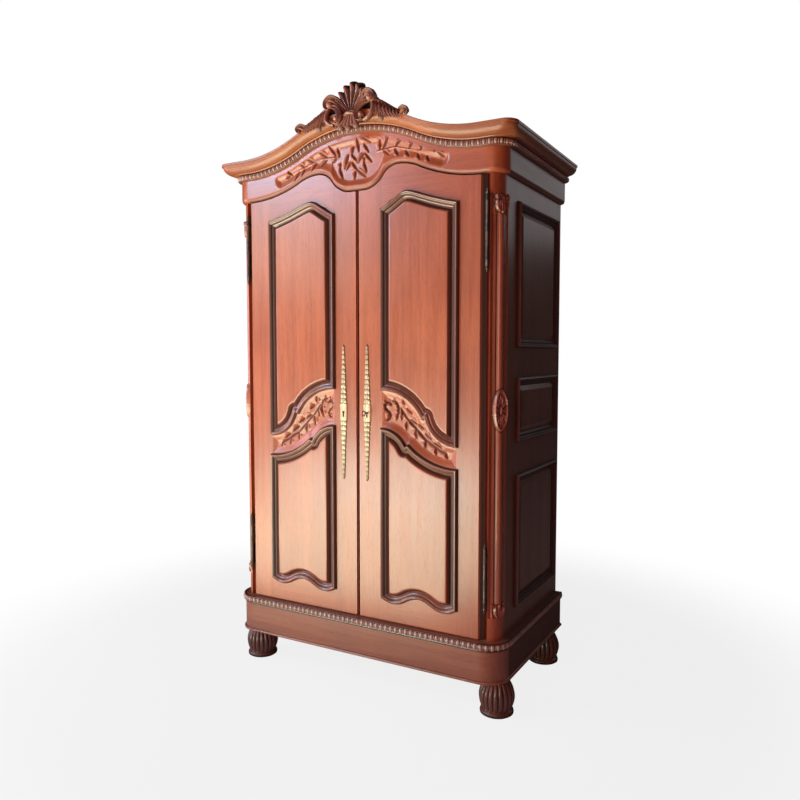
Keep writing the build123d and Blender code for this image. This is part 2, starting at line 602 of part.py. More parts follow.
def lower_outline():
    corner_z, dip_z, peak_z = LOWER_BOTTOM
    left_dip, right_dip = (across(DIP_SHARE), dip_z), (across(1 - DIP_SHARE), dip_z)
    peak = (across(0.5), peak_z)
    wave = [TangentArc(left_dip, (x_open, corner_z), tangent=(-1, 0)), *ogee(left_dip, peak, 0.5),
            *ogee(peak, right_dip, 0.5), TangentArc(right_dip, (x_close, corner_z), tangent=(1, 0))]
    sides = [Line((x_open, corner_z), (x_open, LOWER_TOP[0])),
             Line((x_close, corner_z), (x_close, LOWER_TOP[2]))]
    return make_face([*wave, *sides, *swept_edge(LOWER_TOP, LOWER_CUSP_SHARE)])


openings = [upper_outline(), lower_outline()]

# Door frame: two stiles and three rails, grooved for the panels, with a stepped closing edge
SEAM_STEP = 5               # step on the closing edge of each door, so the joint reads as a groove
SEAM_STEP_DEPTH = 8
EDGE_ROUND = 10             # rounded front edge beside the hinges

edge = shaped_edge(DOOR_GAP, x_lock)
top_end = edge[-1] @ 0
rest = Polyline(top_end, (X_DOOR, top_end.Y), (X_DOOR, z_door), (x_lock, z_door), edge[0] @ 0)
leaf_slab = slab(make_face([*edge, rest]), Y_FRONT, y_door_back)
y_tongue = Y_FRONT + PANEL_SET_BACK
for face in openings:
    leaf_slab -= slab(offset(face, GROOVE), y_tongue, y_tongue + PANEL_THICK)


def part_of_leaf(x0, x1):
    return leaf_slab & block(x0, x1, Y_FRONT, y_door_back, z_door, Z_TOP)


hinge_stile = part_of_leaf(x_close, X_DOOR)
front_edges = hinge_stile.edges().filter_by(Axis.Z).group_by(Axis.X)[-1].sort_by(Axis.Y)
hinge_stile = fillet(front_edges[0], EDGE_ROUND)
lock_stile = part_of_leaf(x_lock, x_open)
lock_stile -= block(x_lock, x_lock + SEAM_STEP, Y_FRONT, Y_FRONT + SEAM_STEP_DEPTH, z_door, Z_TOP)
rails = part_of_leaf(x_open, x_close)
for face in openings:
    rails -= slab(face, Y_FRONT, y_door_back)
bottom_rail, mid_rail, top_rail = rails.solids().sort_by(Axis.Z)

# Carving on the middle rail: a sunk ground with a rosette and a trailing sprig
ROSETTE_RADIUS = 20
SPRIG_FROM = 0.14           # across the opening, from the lock stile
SPRIG_TO = 0.92
SPRIG_PAIRS = 6
SPRIG_ANGLES = (8, -78)
SPRIG_LEAF = (22, 10)

rail_low, rail_high = LOWER_TOP, UPPER_BOTTOM
rail_face = make_face([*swept_edge(rail_low, LOWER_CUSP_SHARE), *swept_edge(rail_high, UPPER_CUSP_SHARE),
                       Line((x_open, rail_low[0]), (x_open, rail_high[0])),
                       Line((x_close, rail_low[2]), (x_close, rail_high[2]))])
rail_sink = offset(rail_face, -SINK_MARGIN)
sprig_start = (across(SPRIG_FROM), (rail_low[0] + rail_high[0]) / 2)
sprig_end = (across(SPRIG_TO), (rail_low[2] + rail_high[2]) / 2)
stem = ogee(sprig_start, sprig_end, 0.45)
sprig = [Pos(*sprig_start) * Circle(ROSETTE_RADIUS)]
for step in range(1, SPRIG_PAIRS + 1):
    share = step / (SPRIG_PAIRS + 1)
    point = stem[0] @ (share * 2) if share < 0.5 else stem[1] @ (2 - share * 2)
    for angle in SPRIG_ANGLES:
        sprig.append(leaf(point, angle, *SPRIG_LEAF))
mid_rail = carve(mid_rail, rail_sink, sprig, Y_FRONT)


def door_panel(face):
    margin = slab(offset(face, TONGUE), y_tongue, y_tongue + PANEL_THICK)
    return margin + slab(offset(face, -MOULD_INNER - FIELD_MARGIN), y_tongue - FIELD_RISE, y_tongue)


def door_moulding(face):
    inner = offset(face, -MOULD_INNER)
    ring = slab(offset(face, MOULD_LAP) - inner, Y_FRONT - MOULD_LOW, Y_FRONT)
    ring += slab(face - inner, Y_FRONT, y_tongue)
    crest = offset(face, -CREST_OUTER) - offset(face, -CREST_INNER)
    return ring + slab(crest, Y_FRONT - MOULD_HIGH, Y_FRONT - MOULD_LOW)


door_panels = [door_panel(face) for face in openings]
door_mouldings = [door_moulding(face) for face in openings]

# Escutcheons: long pierced brass plates built up of lobes that shrink towards both ends
PLATE_THICK = 3
PLATE_LENGTH = 520
PLATE_RISE = 803            # keyhole above the base
PLATE_LOBE = 18
PLATE_SPINE = 9
PLATE_LOBES = 9             # on each side of the middle
PLATE_TIP = 8               # last lobe from the end of the plate
LOBE_SHRINK = 0.9           # each lobe smaller than the one before it
BIG_LOBE = 19               # every third lobe, before shrinking
SMALL_LOBE = 17
OVAL_HEIGHT = 43            # half height of the oval round the keyhole
RIGHT_PLATE_X = 43
LEFT_PLATE_X = -65
KEY_RADIUS = 3.5
SLOT_WIDTH = 5
SLOT_DROP = 16

PLATE_Z = Z_DECK + PLATE_RISE
keyhole_radius = KEY_RADIUS + RUN_GAP


def keyhole(x, y0, y1):
    slot = Pos(x, PLATE_Z - SLOT_DROP / 2) * Rectangle(SLOT_WIDTH, SLOT_DROP)
    return slab(Pos(x, PLATE_Z) * Circle(keyhole_radius) + slot, y0, y1)


def escutcheon(x):
    face = Pos(x, PLATE_Z) * Ellipse(PLATE_LOBE, OVAL_HEIGHT)
    face += Pos(x, PLATE_Z) * Rectangle(PLATE_SPINE, PLATE_LENGTH - 2 * PLATE_LOBE)
    pitch = (PLATE_LENGTH / 2 - PLATE_TIP) / PLATE_LOBES
    for index in range(1, PLATE_LOBES + 1):
        radius = (SMALL_LOBE if index % 3 else BIG_LOBE) - LOBE_SHRINK * index
        for side in (-1, 1):
            face += Pos(x, PLATE_Z + side * pitch * index) * Circle(radius)
    return slab(face, Y_FRONT - PLATE_THICK, Y_FRONT) - keyhole(x, Y_FRONT - PLATE_THICK, Y_FRONT)


# Lock: a mortise case in the right door with a bolt that the key throws into the left door
CASE_LENGTH = 66
CASE_HEIGHT = 90
CASE_THICK = 15
CASE_WALL = 2
CASE_FRONT = 9.5            # behind the door face
BOLT_LENGTH = 48
BOLT_HEIGHT = 20
BOLT_THICK = 5
BOLT_RISE = 5               # underside of the bolt above the key
BOLT_TRAVEL = 14
BIT_REACH = 14
BIT_THICK = 4
BIT_WIDTH = 3
BOW_RADIUS = 13
BOW_HOLE = 8
BOW_THICK = 4
BOW_OUT = 28                # centre of the bow in front of the door

case_y0 = Y_FRONT + CASE_FRONT
case_y1 = case_y0 + CASE_THICK
case_z0, case_z1 = PLATE_Z - CASE_HEIGHT / 2, PLATE_Z + CASE_HEIGHT / 2
pocket = block(x_lock, x_lock + CASE_LENGTH, case_y0, case_y1, case_z0, case_z1)
bolt_y1 = case_y1 - CASE_WALL - RUN_GAP
bolt_y0 = bolt_y1 - BOLT_THICK
bolt_z0 = PLATE_Z + BOLT_RISE
bolt_z1 = bolt_z0 + BOLT_HEIGHT
bolt = block(x_lock + RUN_GAP, x_lock + BOLT_LENGTH, bolt_y0, bolt_y1, bolt_z0, bolt_z1)


def bolt_way(x0, x1):
    return block(x0, x1, bolt_y0 - RUN_GAP, bolt_y1 + RUN_GAP, bolt_z0 - RUN_GAP, bolt_z1 + RUN_GAP)


case_hollow = block(x_lock + CASE_WALL, x_lock + CASE_LENGTH - CASE_WALL, case_y0 + CASE_WALL,
                    case_y1 - CASE_WALL, case_z0 + CASE_WALL, case_z1 - CASE_WALL)
lock_case = pocket - case_hollow - bolt_way(x_lock, x_lock + CASE_WALL)
lock_case -= keyhole(RIGHT_PLATE_X, case_y0, case_y0 + CASE_WALL)
bow_y = Y_FRONT - BOW_OUT
bit_y0 = case_y0 + CASE_WALL + RUN_GAP
key_line = Pos(RIGHT_PLATE_X, 0, PLATE_Z)
shank_y0 = bow_y + (BOW_HOLE + BOW_RADIUS) / 2
shank_y1 = bit_y0 + BIT_THICK
shank = Rot(90, 0, 0) * Cylinder(KEY_RADIUS, shank_y1 - shank_y0)
key = key_line * Pos(0, (shank_y0 + shank_y1) / 2, 0) * shank
bow_place = key_line * Pos(0, bow_y, 0) * Rot(0, 90, 0)
key += bow_place * (Cylinder(BOW_RADIUS, BOW_THICK) - Cylinder(BOW_HOLE, BOW_THICK))
key += key_line * block(-BIT_WIDTH / 2, BIT_WIDTH / 2, bit_y0, bit_y0 + BIT_THICK, -BIT_REACH, 0)

right_lock_stile = lock_stile - pocket - keyhole(RIGHT_PLATE_X, Y_FRONT, case_y0)
left_lock_stile = flip(lock_stile) - bolt_way(-x_lock - BOLT_TRAVEL - CASE_WALL, -x_lock)
save("lock_case", lock_case)
save("lock_bolt", bolt)
save("key", key)
save("right_lock_stile", right_lock_stile)
save("left_lock_stile", left_lock_stile)
save("right_escutcheon", escutcheon(RIGHT_PLATE_X))
save("left_escutcheon", escutcheon(LEFT_PLATE_X))
save("right_hinge_stile", hinge_stile)
save("left_hinge_stile", flip(hinge_stile))
save("right_top_rail", top_rail)
save("left_top_rail", flip(top_rail))
save("right_mid_rail", mid_rail)
save("left_mid_rail", flip(mid_rail))
save("right_bottom_rail", bottom_rail)
save("left_bottom_rail", flip(bottom_rail))
save("right_panels", *door_panels)
save("left_panels", *[flip(piece) for piece in door_panels])
save("right_mouldings", *door_mouldings)
save("left_mouldings", *[flip(piece) for piece in door_mouldings])
save("right_hinge_halves", *[parts[1] for parts in hinges])
save("left_hinge_halves", *[flip(parts[1]) for parts in hinges])
post_halves = [parts[0] for parts in hinges]
save("post_hinge_halves", *post_halves, *[flip(piece) for piece in post_halves])

# Bolts of the left door: rods in guides, one rising behind the frieze, one dropping into the threshold
ROD_RADIUS = 4
ROD_X = -35
ROD_OUT = 8                 # rod axis behind the door
GUIDE_WIDTH = 28
GUIDE_HEIGHT = 56
GUIDE_DEPTH = 14
ROD_LENGTH = 130
ROD_TRAVEL = 20
KNOB_OUT = 12
KNOB_RADIUS = 3.5
KNOB_END = 6                # knob axis from the rod's inner end
GUIDE_END = 30              # guide from the rod's outer end
THRESHOLD_HOLE = 5          # radius of the hole that takes the lower rod
ROD_END_GAP = 6             # rod end short of the door's edge when drawn back

rod_y = y_door_back + ROD_OUT
top_rod_end = Z_FRIEZE - PENDANT_DROP - DOOR_GAP - ROD_END_GAP
low_rod_end = Z_DECK + THRESHOLD_HEIGHT + ROD_END_GAP


def rod(z0, z1, knob_z):
    bar = Pos(ROD_X, rod_y, (z0 + z1) / 2) * Cylinder(ROD_RADIUS, z1 - z0)
    knob = Rot(90, 0, 0) * Cylinder(KNOB_RADIUS, KNOB_OUT)
    return bar + Pos(ROD_X, rod_y + KNOB_OUT / 2, knob_z) * knob


def guide(z0):
    body = block(ROD_X - GUIDE_WIDTH / 2, ROD_X + GUIDE_WIDTH / 2, y_door_back, y_door_back + GUIDE_DEPTH,
                 z0, z0 + GUIDE_HEIGHT)
    return body - Pos(ROD_X, rod_y, z0 + GUIDE_HEIGHT / 2) * Cylinder(ROD_RADIUS + RUN_GAP, GUIDE_HEIGHT)


top_rod_low = top_rod_end - ROD_LENGTH
low_rod_high = low_rod_end + ROD_LENGTH
save("left_top_bolt", rod(top_rod_low, top_rod_end, top_rod_low + KNOB_END))
save("left_bottom_bolt", rod(low_rod_end, low_rod_high, low_rod_high - KNOB_END))
save("left_bolt_guides", guide(top_rod_end - GUIDE_END - GUIDE_HEIGHT), guide(low_rod_end + GUIDE_END))
z_threshold = Z_DECK + THRESHOLD_HEIGHT
threshold = block(-x_post_inner, x_post_inner, y_stop, y_stop + THRESHOLD_THICK, Z_DECK, z_threshold)
threshold -= Pos(ROD_X, rod_y, z_threshold - ROD_TRAVEL / 2) * Cylinder(THRESHOLD_HOLE, ROD_TRAVEL)
save("threshold", threshold)
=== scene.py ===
from math import cos, pi, radians, sin

import bmesh
import bpy
import numpy as np
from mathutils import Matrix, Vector


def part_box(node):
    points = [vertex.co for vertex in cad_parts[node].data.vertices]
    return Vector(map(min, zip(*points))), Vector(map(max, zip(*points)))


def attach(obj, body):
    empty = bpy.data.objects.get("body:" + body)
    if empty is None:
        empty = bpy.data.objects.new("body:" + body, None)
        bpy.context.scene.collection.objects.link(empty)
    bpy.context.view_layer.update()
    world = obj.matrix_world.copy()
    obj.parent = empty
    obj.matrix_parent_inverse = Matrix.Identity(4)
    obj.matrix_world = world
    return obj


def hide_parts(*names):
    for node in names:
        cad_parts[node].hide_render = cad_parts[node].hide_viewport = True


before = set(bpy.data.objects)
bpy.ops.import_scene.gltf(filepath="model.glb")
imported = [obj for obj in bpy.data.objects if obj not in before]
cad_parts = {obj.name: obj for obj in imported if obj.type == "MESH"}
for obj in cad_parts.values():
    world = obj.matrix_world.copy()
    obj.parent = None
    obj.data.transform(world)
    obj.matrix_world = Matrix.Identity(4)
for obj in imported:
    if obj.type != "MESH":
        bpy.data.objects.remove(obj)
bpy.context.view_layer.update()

# Bun feet: four turned mahogany feet, carved all round with upright reeds like a melon. Each stands
# on a plain turned ring and goes up into the corner block of the base with a spigot.
FOOT_REEDS = 20
REED_DEPTH = 0.0065
POINTS_PER_REED = 10
FOOT_RING = ((0.0, 0.0), (0.057, 0.0), (0.0615, 0.003), (0.0625, 0.010), (0.0605, 0.0165),
             (0.0545, 0.0185))
FOOT_COLLAR = ((0.046, 0.126), (0.0485, 0.128), (0.0485, 0.133), (0.046, 0.1365), (0.0, 0.137))
RING_DARK, RING_DARK_TOP = 0.7, 0.012     # the standing ring is painted darker, up to this height
MELON_SPAN = (0.020, 0.125)
MELON_ENDS = (0.053, 0.044)
MELON_SWELL = 0.0175
MELON_RINGS = 20


class Tone:
    """One socket of a finish; arithmetic on tones adds the Math nodes for it"""

    def __init__(self, tree, socket=None):
        self.tree = tree
        self.socket = socket

    def node(self, kind, settings, inputs, output=0):
        made = self.tree.nodes.new(kind)
        for name, value in settings.items():
            setattr(made, name, value)
        for name, value in inputs.items():
            if isinstance(value, Tone):
                self.tree.links.new(value.socket, made.inputs[name])
            else:
                made.inputs[name].default_value = value
        return Tone(self.tree, made.outputs[output])

    def math(self, operation, *values):
        return self.node("ShaderNodeMath", {"operation": operation}, dict(enumerate(values)))

    def __add__(self, other):
        return self.math("ADD", self, other)

    __radd__ = __add__

    def __sub__(self, other):
        return self.math("SUBTRACT", self, other)

    def __rsub__(self, other):
        return self.math("SUBTRACT", other, self)

    def __mul__(self, other):
        return self.math("MULTIPLY", self, other)

    __rmul__ = __mul__

    def span(self, low, high):
        """0 below low, 1 above high and smooth between them"""
        settings = {"interpolation_type": "SMOOTHSTEP"}
        return self.node("ShaderNodeMapRange", settings, {"Value": self, "From Min": low, "From Max": high})

    def blend(self, low, high):
        """The colour low where this tone is 0, going over to high where it is 1"""
        return self.node("ShaderNodeMix", {"data_type": "RGBA"}, {0: self, 6: low, 7: high}, 2)


def finish_start(name):
    """A new finish, its shader node and an empty tone to start from"""
    finish = bpy.data.materials.new(name)
    finish.use_nodes = True
    tree = finish.node_tree
    return finish, tree.nodes["Principled BSDF"], Tone(tree)


SHADE_AND_GLAZE = (0.010, 0.0035, 0.003)      # near-black colour painted into cuts, corners and gaps: painted shade, partly a real dark glaze


def paint(colour, share=1.0):
    """A colour, or a share of it, as the four numbers that a colour socket takes"""
    return tuple(share * value for value in colour) + (1.0,)


def mahogany(name, grain, pale, deep, gloss=0.30, polish=0.45, seam=0.0):
    """Polished mahogany: figure and pores along the grain, and near-black painted shade, partly a dark
    glaze, in hollows and beside a middle seam
    """
    finish, shader, start = finish_start(name)
    place = start.node("ShaderNodeTexCoord", {}, {}, "Object")
    squeeze = [1.0, 1.0, 1.0]
    squeeze["xyz".index(grain)] = 0.05
    drawn = start.node("ShaderNodeMapping", {}, {"Vector": place, "Scale": squeeze})

    def streaks(scale, detail, twist=0.0, where=drawn):
        return start.node("ShaderNodeTexNoise", {}, {"Vector": where, "Scale": scale, "Detail": detail,
                                                     "Roughness": 0.6, "Distortion": twist})

    ribbon = streaks(11, 3, 0.5).span(0.32, 0.68)
    figure = streaks(70, 4).span(0.30, 0.70)
    pores = streaks(600, 2).span(0.55, 0.70)
    cloud = streaks(2.4, 2, 0.3, place).span(0.30, 0.70)
    hollow = start.node("ShaderNodeAttribute", {"attribute_name": "hollow"}, {}, "Fac")
    # the seam mask paints shade along the gap where the doors meet
    if seam:
        aside = start.math("ABSOLUTE", start.node("ShaderNodeSeparateXYZ", {}, {"Vector": place}, "X"))
        hollow = 1 - aside.span(0.8 * seam, seam)
    wood = (ribbon * 0.40 + figure * 0.30 + cloud * 0.30).blend(paint(deep), paint(pale))
    pored = (pores * 0.45).blend(wood, paint(deep, 0.35))
    # where hollow is high the wood goes near black: painted shade, partly glaze
    shaded_wood = hollow.blend(pored, paint(SHADE_AND_GLAZE))
    link = start.tree.links.new
    link(shaded_wood.socket, shader.inputs["Base Color"])
    link((figure * 0.08 + pores * 0.08 + hollow * 0.60 + gloss).socket, shader.inputs["Roughness"])
    link((polish - hollow * polish).socket, shader.inputs["Coat Weight"])
    grooves = start.node("ShaderNodeBump", {}, {"Height": 1 - pores - figure * 0.3, "Strength": 0.12,
                                                "Distance": 0.0004})
    link(grooves.socket, shader.inputs["Normal"])
    shader.inputs["Coat Roughness"].default_value = 0.22
    return finish


def grid_faces(rows, columns, round_columns=False, round_rows=False):
    """Quads over a grid of points that is listed row by row"""
    faces = []
    for row in range(rows if round_rows else rows - 1):
        for column in range(columns if round_columns else columns - 1):
            right = (column + 1) % columns
            above = (row + 1) % rows
            faces.append((row * columns + column, row * columns + right,
                          above * columns + right, above * columns + column))
    return faces


def piece(name, points, faces, finish, body, slot, nodes=(), hollow=None, sharp=38):
    """A mesh piece on a body, in place of CAD nodes; hollow says how dark it is painted: shade and glaze on
    wood, tarnish on metal
    """
    mesh = bpy.data.meshes.new(name)
    mesh.from_pydata([tuple(map(float, point)) for point in points], [], [tuple(face) for face in faces])
    if hollow is not None:
        mesh.attributes.new("hollow", "FLOAT", "POINT").data.foreach_set("value", np.ravel(hollow))
    work = bmesh.new()
    work.from_mesh(mesh)
    bmesh.ops.remove_doubles(work, verts=work.verts, dist=1e-5)
    bmesh.ops.dissolve_degenerate(work, edges=work.edges, dist=1e-6)
    bmesh.ops.triangulate(work, faces=[face for face in work.faces if len(face.verts) > 4])
    bmesh.ops.recalc_face_normals(work, faces=work.faces)
    work.to_mesh(mesh)
    work.free()
    mesh.shade_smooth()
    mesh.set_sharp_from_angle(angle=radians(sharp))
    mesh.materials.append(finish)
    made = bpy.data.objects.new(name, mesh)
    bpy.context.scene.collection.objects.link(made)
    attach(made, body)
    if nodes:
        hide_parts(*nodes)
    return made


turned_mahogany = mahogany("turned_mahogany", "z", (0.20, 0.066, 0.036), (0.10, 0.028, 0.016))


def melon(share):
    """Radius of the bulb, from its foot at 0 to its neck at 1"""
    return np.interp(share, (0, 1), MELON_ENDS) + MELON_SWELL * sin(pi * share) ** 0.8


profile = [(radius, height, 0.0) for radius, height in FOOT_RING]
for ring in range(MELON_RINGS + 1):
    share = ring / MELON_RINGS
    profile.append((melon(share), np.interp(share, (0, 1), MELON_SPAN), sin(pi * share) ** 0.4))
profile += [(radius, height, 0.0) for radius, height in FOOT_COLLAR]
angles = np.arange(FOOT_REEDS * POINTS_PER_REED) * 2 * pi / (FOOT_REEDS * POINTS_PER_REED)
valley = 1 - np.abs(np.cos(FOOT_REEDS * angles / 2)) ** 0.7
for place in ("front_left", "front_right", "rear_left", "rear_right"):
    low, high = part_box(f"foot_{place}")
    middle = (low + high) / 2
    points, hollow = [], []
    for radius, height, reeding in profile:
        reach = radius - REED_DEPTH * reeding * valley
        points += zip(middle.x + reach * np.cos(angles), middle.y + reach * np.sin(angles),
                      np.full(angles.shape, height))
        # painted shade in the valleys between the reeds, and the standing ring painted darker
        ring_dark = RING_DARK * (height < RING_DARK_TOP)
        hollow += list(np.maximum(reeding * np.clip(valley * 1.3 - 0.25, 0, 1), ring_dark))
    faces = grid_faces(len(profile), len(angles), round_columns=True)
    piece(f"bun_foot_{place}", points, faces, turned_mahogany, "carcass", "mahogany",
          [f"foot_{place}"], hollow, sharp=60)

# Base: mahogany boards round the foot of the case, with rounded front corners. A rounded lip runs along
# the lower edge, and a strip carved with small flowers along the upper edge; both are glued on.
CORNER_STEPS = 14
FRONT_STEPS = 150
BASE_RADIUS = 0.085
BASE_EDGE = 0.004           # small rounding of the boards' edges
LIP_PROFILE = ((-0.002, 0.0), (0.003, 0.0), (0.0065, 0.002), (0.0075, 0.006), (0.006, 0.0095),
               (0.002, 0.012), (-0.002, 0.012))
BAND_PROFILE = ((-0.002, 0.0), (0.003, 0.0), (0.0045, 0.003), (0.0035, 0.006), (0.0035, 0.024),
                (0.0055, 0.027), (0.0075, 0.029), (0.0075, 0.031), (-0.002, 0.031))
FLOWER_PITCH = 0.0215
FLOWER_SIZE = (0.0092, 0.0122, 0.0078)      # half width, half height, how proud
LEAF_SIZE = (0.0026, 0.0120, 0.0050)
FLOWER_LEVEL, FLOWER_SEAT = 0.0175, 0.0035  # above the foot of the strip, and out from the base


def plan_line(x_half, y_front, radius, y_back):
    """Plan points and outward directions: the front with its rounded corners, and the two sides"""
    turns = np.linspace(0, pi / 2, CORNER_STEPS)
    x_corner, y_corner = x_half - radius, y_front + radius
    corner = [(x_corner + radius * sin(t), y_corner - radius * cos(t), sin(t), -cos(t)) for t in turns]
    front = [(x, y_front, 0.0, -1.0) for x in np.linspace(-x_corner, x_corner, FRONT_STEPS)[1:-1]]
    mirrored = [(-x, y, -nx, ny) for x, y, nx, ny in reversed(corner)]
    side = [(x_half, y_corner, 1.0, 0.0), (x_half, y_back, 1.0, 0.0)]
    return mirrored + front + corner, side, [(-x, y, -nx, ny) for x, y, nx, ny in side]


def tube_faces(sections, count):
    """Faces of a closed profile of count points carried through sections, with both ends closed"""
    last = (sections - 1) * count
    ends = [tuple(range(count)), tuple(range(last, last + count))]
    return grid_faces(sections, count, round_columns=True) + ends


def moulded_run(line, profile, level, lift=lambda x: 0.0):
    """Points and faces of a closed profile of (out, up) carried along a plan line"""
    points = []
    for x, y, nx, ny in line:
        points += [(x + nx * out, y + ny * out, level + up + lift(x)) for out, up in profile]
    return points, tube_faces(len(line), len(profile))


def joined(*meshes):
    """Several lists of points and faces as one"""
    points, faces = [], []
    for more_points, more_faces in meshes:
        faces += [tuple(index + len(points) for index in face) for face in more_faces]
        points += list(more_points)
    return points, faces


base_low, base_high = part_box("plinth_front")
x_base, y_base, z_foot, z_deck = base_high.x, base_low.y, base_low.z, base_high.z
y_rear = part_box("plinth_sides")[1].y
base_thick = x_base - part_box("plinth_rear")[1].x
board_high = z_deck - z_foot
base_front, base_right, base_left = plan_line(x_base, y_base, BASE_RADIUS, y_rear)
board = [(-base_thick, 0.0), (-BASE_EDGE, 0.0), (0.0, BASE_EDGE), (0.0, board_high - BASE_EDGE),
         (-BASE_EDGE, board_high), (-base_thick, board_high)]
base_mahogany = mahogany("base_mahogany", "x", (0.35, 0.108, 0.054), (0.18, 0.047, 0.026))
# the base sides are a darker copy of the base wood: painted shade on the unlit sides
shaded_base_side_mahogany = mahogany("shaded_base_side_mahogany", "y", (0.17, 0.054, 0.030), (0.09, 0.025, 0.015),
                              gloss=0.45, polish=0.0)
piece("base_front", *moulded_run(base_front, board, z_foot), base_mahogany, "carcass", "mahogany",
      ["plinth_front"])
piece("base_sides", *joined(*[moulded_run(side, board, z_foot) for side in (base_left, base_right)]),
      shaded_base_side_mahogany, "carcass", "mahogany", ["plinth_sides"])
whole_base = base_left[::-1] + base_front[1:-1] + base_right
piece("base_lip", *moulded_run(whole_base, LIP_PROFILE, z_foot), base_mahogany, "carcass", "mahogany",
      ["plinth_lip"])


def carved_row(line, pitch, level, out, lift=lambda x: 0.0):
    """Points a pitch apart along a plan line, with their outward and lengthwise directions"""
    path = np.array([(x + nx * out, y + ny * out, level + lift(x)) for x, y, nx, ny in line])
    outward = np.array([(nx, ny, 0.0) for x, y, nx, ny in line])
    travelled = np.concatenate(([0.0], np.cumsum(np.linalg.norm(np.diff(path, axis=0), axis=1))))
    count = int(travelled[-1] / pitch)
    stops = (np.arange(count) + 0.5) * travelled[-1] / count

    def along(values, where):
        return np.stack([np.interp(where, travelled, column) for column in values.T], axis=1)

    ahead = along(path, stops + pitch / 4) - along(path, stops - pitch / 4)
    return along(path, stops), along(outward, stops), ahead


def carving_tree(name, finish):
    """Geometry nodes that set an egg on each point of a row and a dart in the space after it"""
    tree = bpy.data.node_groups.new(name, "GeometryNodeTree")

    def port(label, way, kind):
        return tree.interface.new_socket(label, in_out=way, socket_type=kind).identifier

    port("Geometry", "INPUT", "NodeSocketGeometry")
    sizes = {}
    for label in ("Egg Size", "Dart Size", "Dart Shift"):
        sizes[label] = port(label, "INPUT", "NodeSocketVector")
    port("Geometry", "OUTPUT", "NodeSocketGeometry")
    nodes, link = tree.nodes, tree.links.new
    entry, leave = nodes.new("NodeGroupInput"), nodes.new("NodeGroupOutput")
    turn = nodes.new("FunctionNodeAxesToRotation")
    turn.primary_axis, turn.secondary_axis = "Z", "X"
    for label, socket in (("outward", turn.inputs[0]), ("ahead", turn.inputs[1])):
        read = nodes.new("GeometryNodeInputNamedAttribute")
        read.data_type = "FLOAT_VECTOR"
        read.inputs["Name"].default_value = label
        link(read.outputs["Attribute"], socket)
    both = nodes.new("GeometryNodeJoinGeometry")
    for label, segments, rings in (("Egg Size", 10, 6), ("Dart Size", 6, 4)):
        ball = nodes.new("GeometryNodeMeshUVSphere")
        ball.inputs["Segments"].default_value = segments
        ball.inputs["Rings"].default_value = rings
        ball.inputs["Radius"].default_value = 1.0
        shape = nodes.new("GeometryNodeTransform")
        link(ball.outputs["Mesh"], shape.inputs["Geometry"])
        link(entry.outputs[label], shape.inputs["Scale"])
        if label == "Dart Size":
            link(entry.outputs["Dart Shift"], shape.inputs["Translation"])
        seat = nodes.new("GeometryNodeInstanceOnPoints")
        link(entry.outputs["Geometry"], seat.inputs["Points"])
        link(shape.outputs["Geometry"], seat.inputs["Instance"])
        link(turn.outputs["Rotation"], seat.inputs["Rotation"])
        link(seat.outputs["Instances"], both.inputs["Geometry"])
    real = nodes.new("GeometryNodeRealizeInstances")
    smooth = nodes.new("GeometryNodeSetShadeSmooth")
    paint = nodes.new("GeometryNodeSetMaterial")
    paint.inputs["Material"].default_value = finish
    link(both.outputs["Geometry"], real.inputs["Geometry"])
    link(real.outputs["Geometry"], smooth.inputs["Geometry"])
    link(smooth.outputs["Geometry"], paint.inputs["Geometry"])
    link(paint.outputs["Geometry"], leave.inputs["Geometry"])
    return tree, sizes


def carved_beads(name, row, pitch, finish, egg, dart, body):
    """A plain mesh of eggs and darts along a row of points a pitch apart, riding on a body"""
    seats, outward, ahead = row
    mesh = bpy.data.meshes.new(name)
    mesh.from_pydata(seats.tolist(), [], [])
    for label, values in (("outward", outward), ("ahead", ahead)):
        mesh.attributes.new(label, "FLOAT_VECTOR", "POINT").data.foreach_set("vector", values.ravel())
    tree, sizes = carving_tree(name, finish)
    made = bpy.data.objects.new(name, mesh)
    bpy.context.scene.collection.objects.link(made)
    nodes = made.modifiers.new("carving", "NODES")
    nodes.node_group = tree
    for label, value in (("Egg Size", egg), ("Dart Size", dart), ("Dart Shift", (pitch / 2, 0.0, 0.0))):
        nodes[sizes[label]] = value
    ready = made.evaluated_get(bpy.context.evaluated_depsgraph_get())
    plain = bpy.data.meshes.new_from_object(ready)
    made.modifiers.clear()
    made.data = plain
    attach(made, body)
    return made


# pale, greyish beads: the flowers and eggs carry a painted sheen in their colour
sheen_bead_mahogany = mahogany("sheen_bead_mahogany", "x", (0.46, 0.26, 0.21), (0.28, 0.14, 0.11),
                         gloss=0.26, polish=0.6)
# near-black strip behind the flowers: painted shade between them
shaded_groove_mahogany = mahogany("shaded_groove_mahogany", "x", (0.10, 0.028, 0.017), (0.045, 0.013, 0.009))
band_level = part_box("plinth_carved_band")[0].z
piece("base_band", *moulded_run(whole_base, BAND_PROFILE, band_level), shaded_groove_mahogany, "carcass",
      "carved_mahogany", ["plinth_carved_band"])
flowers = carved_row(whole_base, FLOWER_PITCH, band_level + FLOWER_LEVEL, FLOWER_SEAT)
carved_beads("base_band_flowers", flowers, FLOWER_PITCH, sheen_bead_mahogany, FLOWER_SIZE, LEAF_SIZE,
             "carcass")

# Inside of the case: floor, roof, back boards, corner blocks, shelf and cleats of plain waxed hardwood,
# grooved and screwed together, and a brass hanging rail let into the cleats.
INNER_PALE, INNER_DEEP = (0.42, 0.24, 0.12), (0.27, 0.14, 0.065)
inner_wood = mahogany("inner_wood", "z", INNER_PALE, INNER_DEEP, gloss=0.5, polish=0.1)
inner_wood_level = mahogany("inner_wood_level", "x", INNER_PALE, INNER_DEEP, gloss=0.5, polish=0.1)


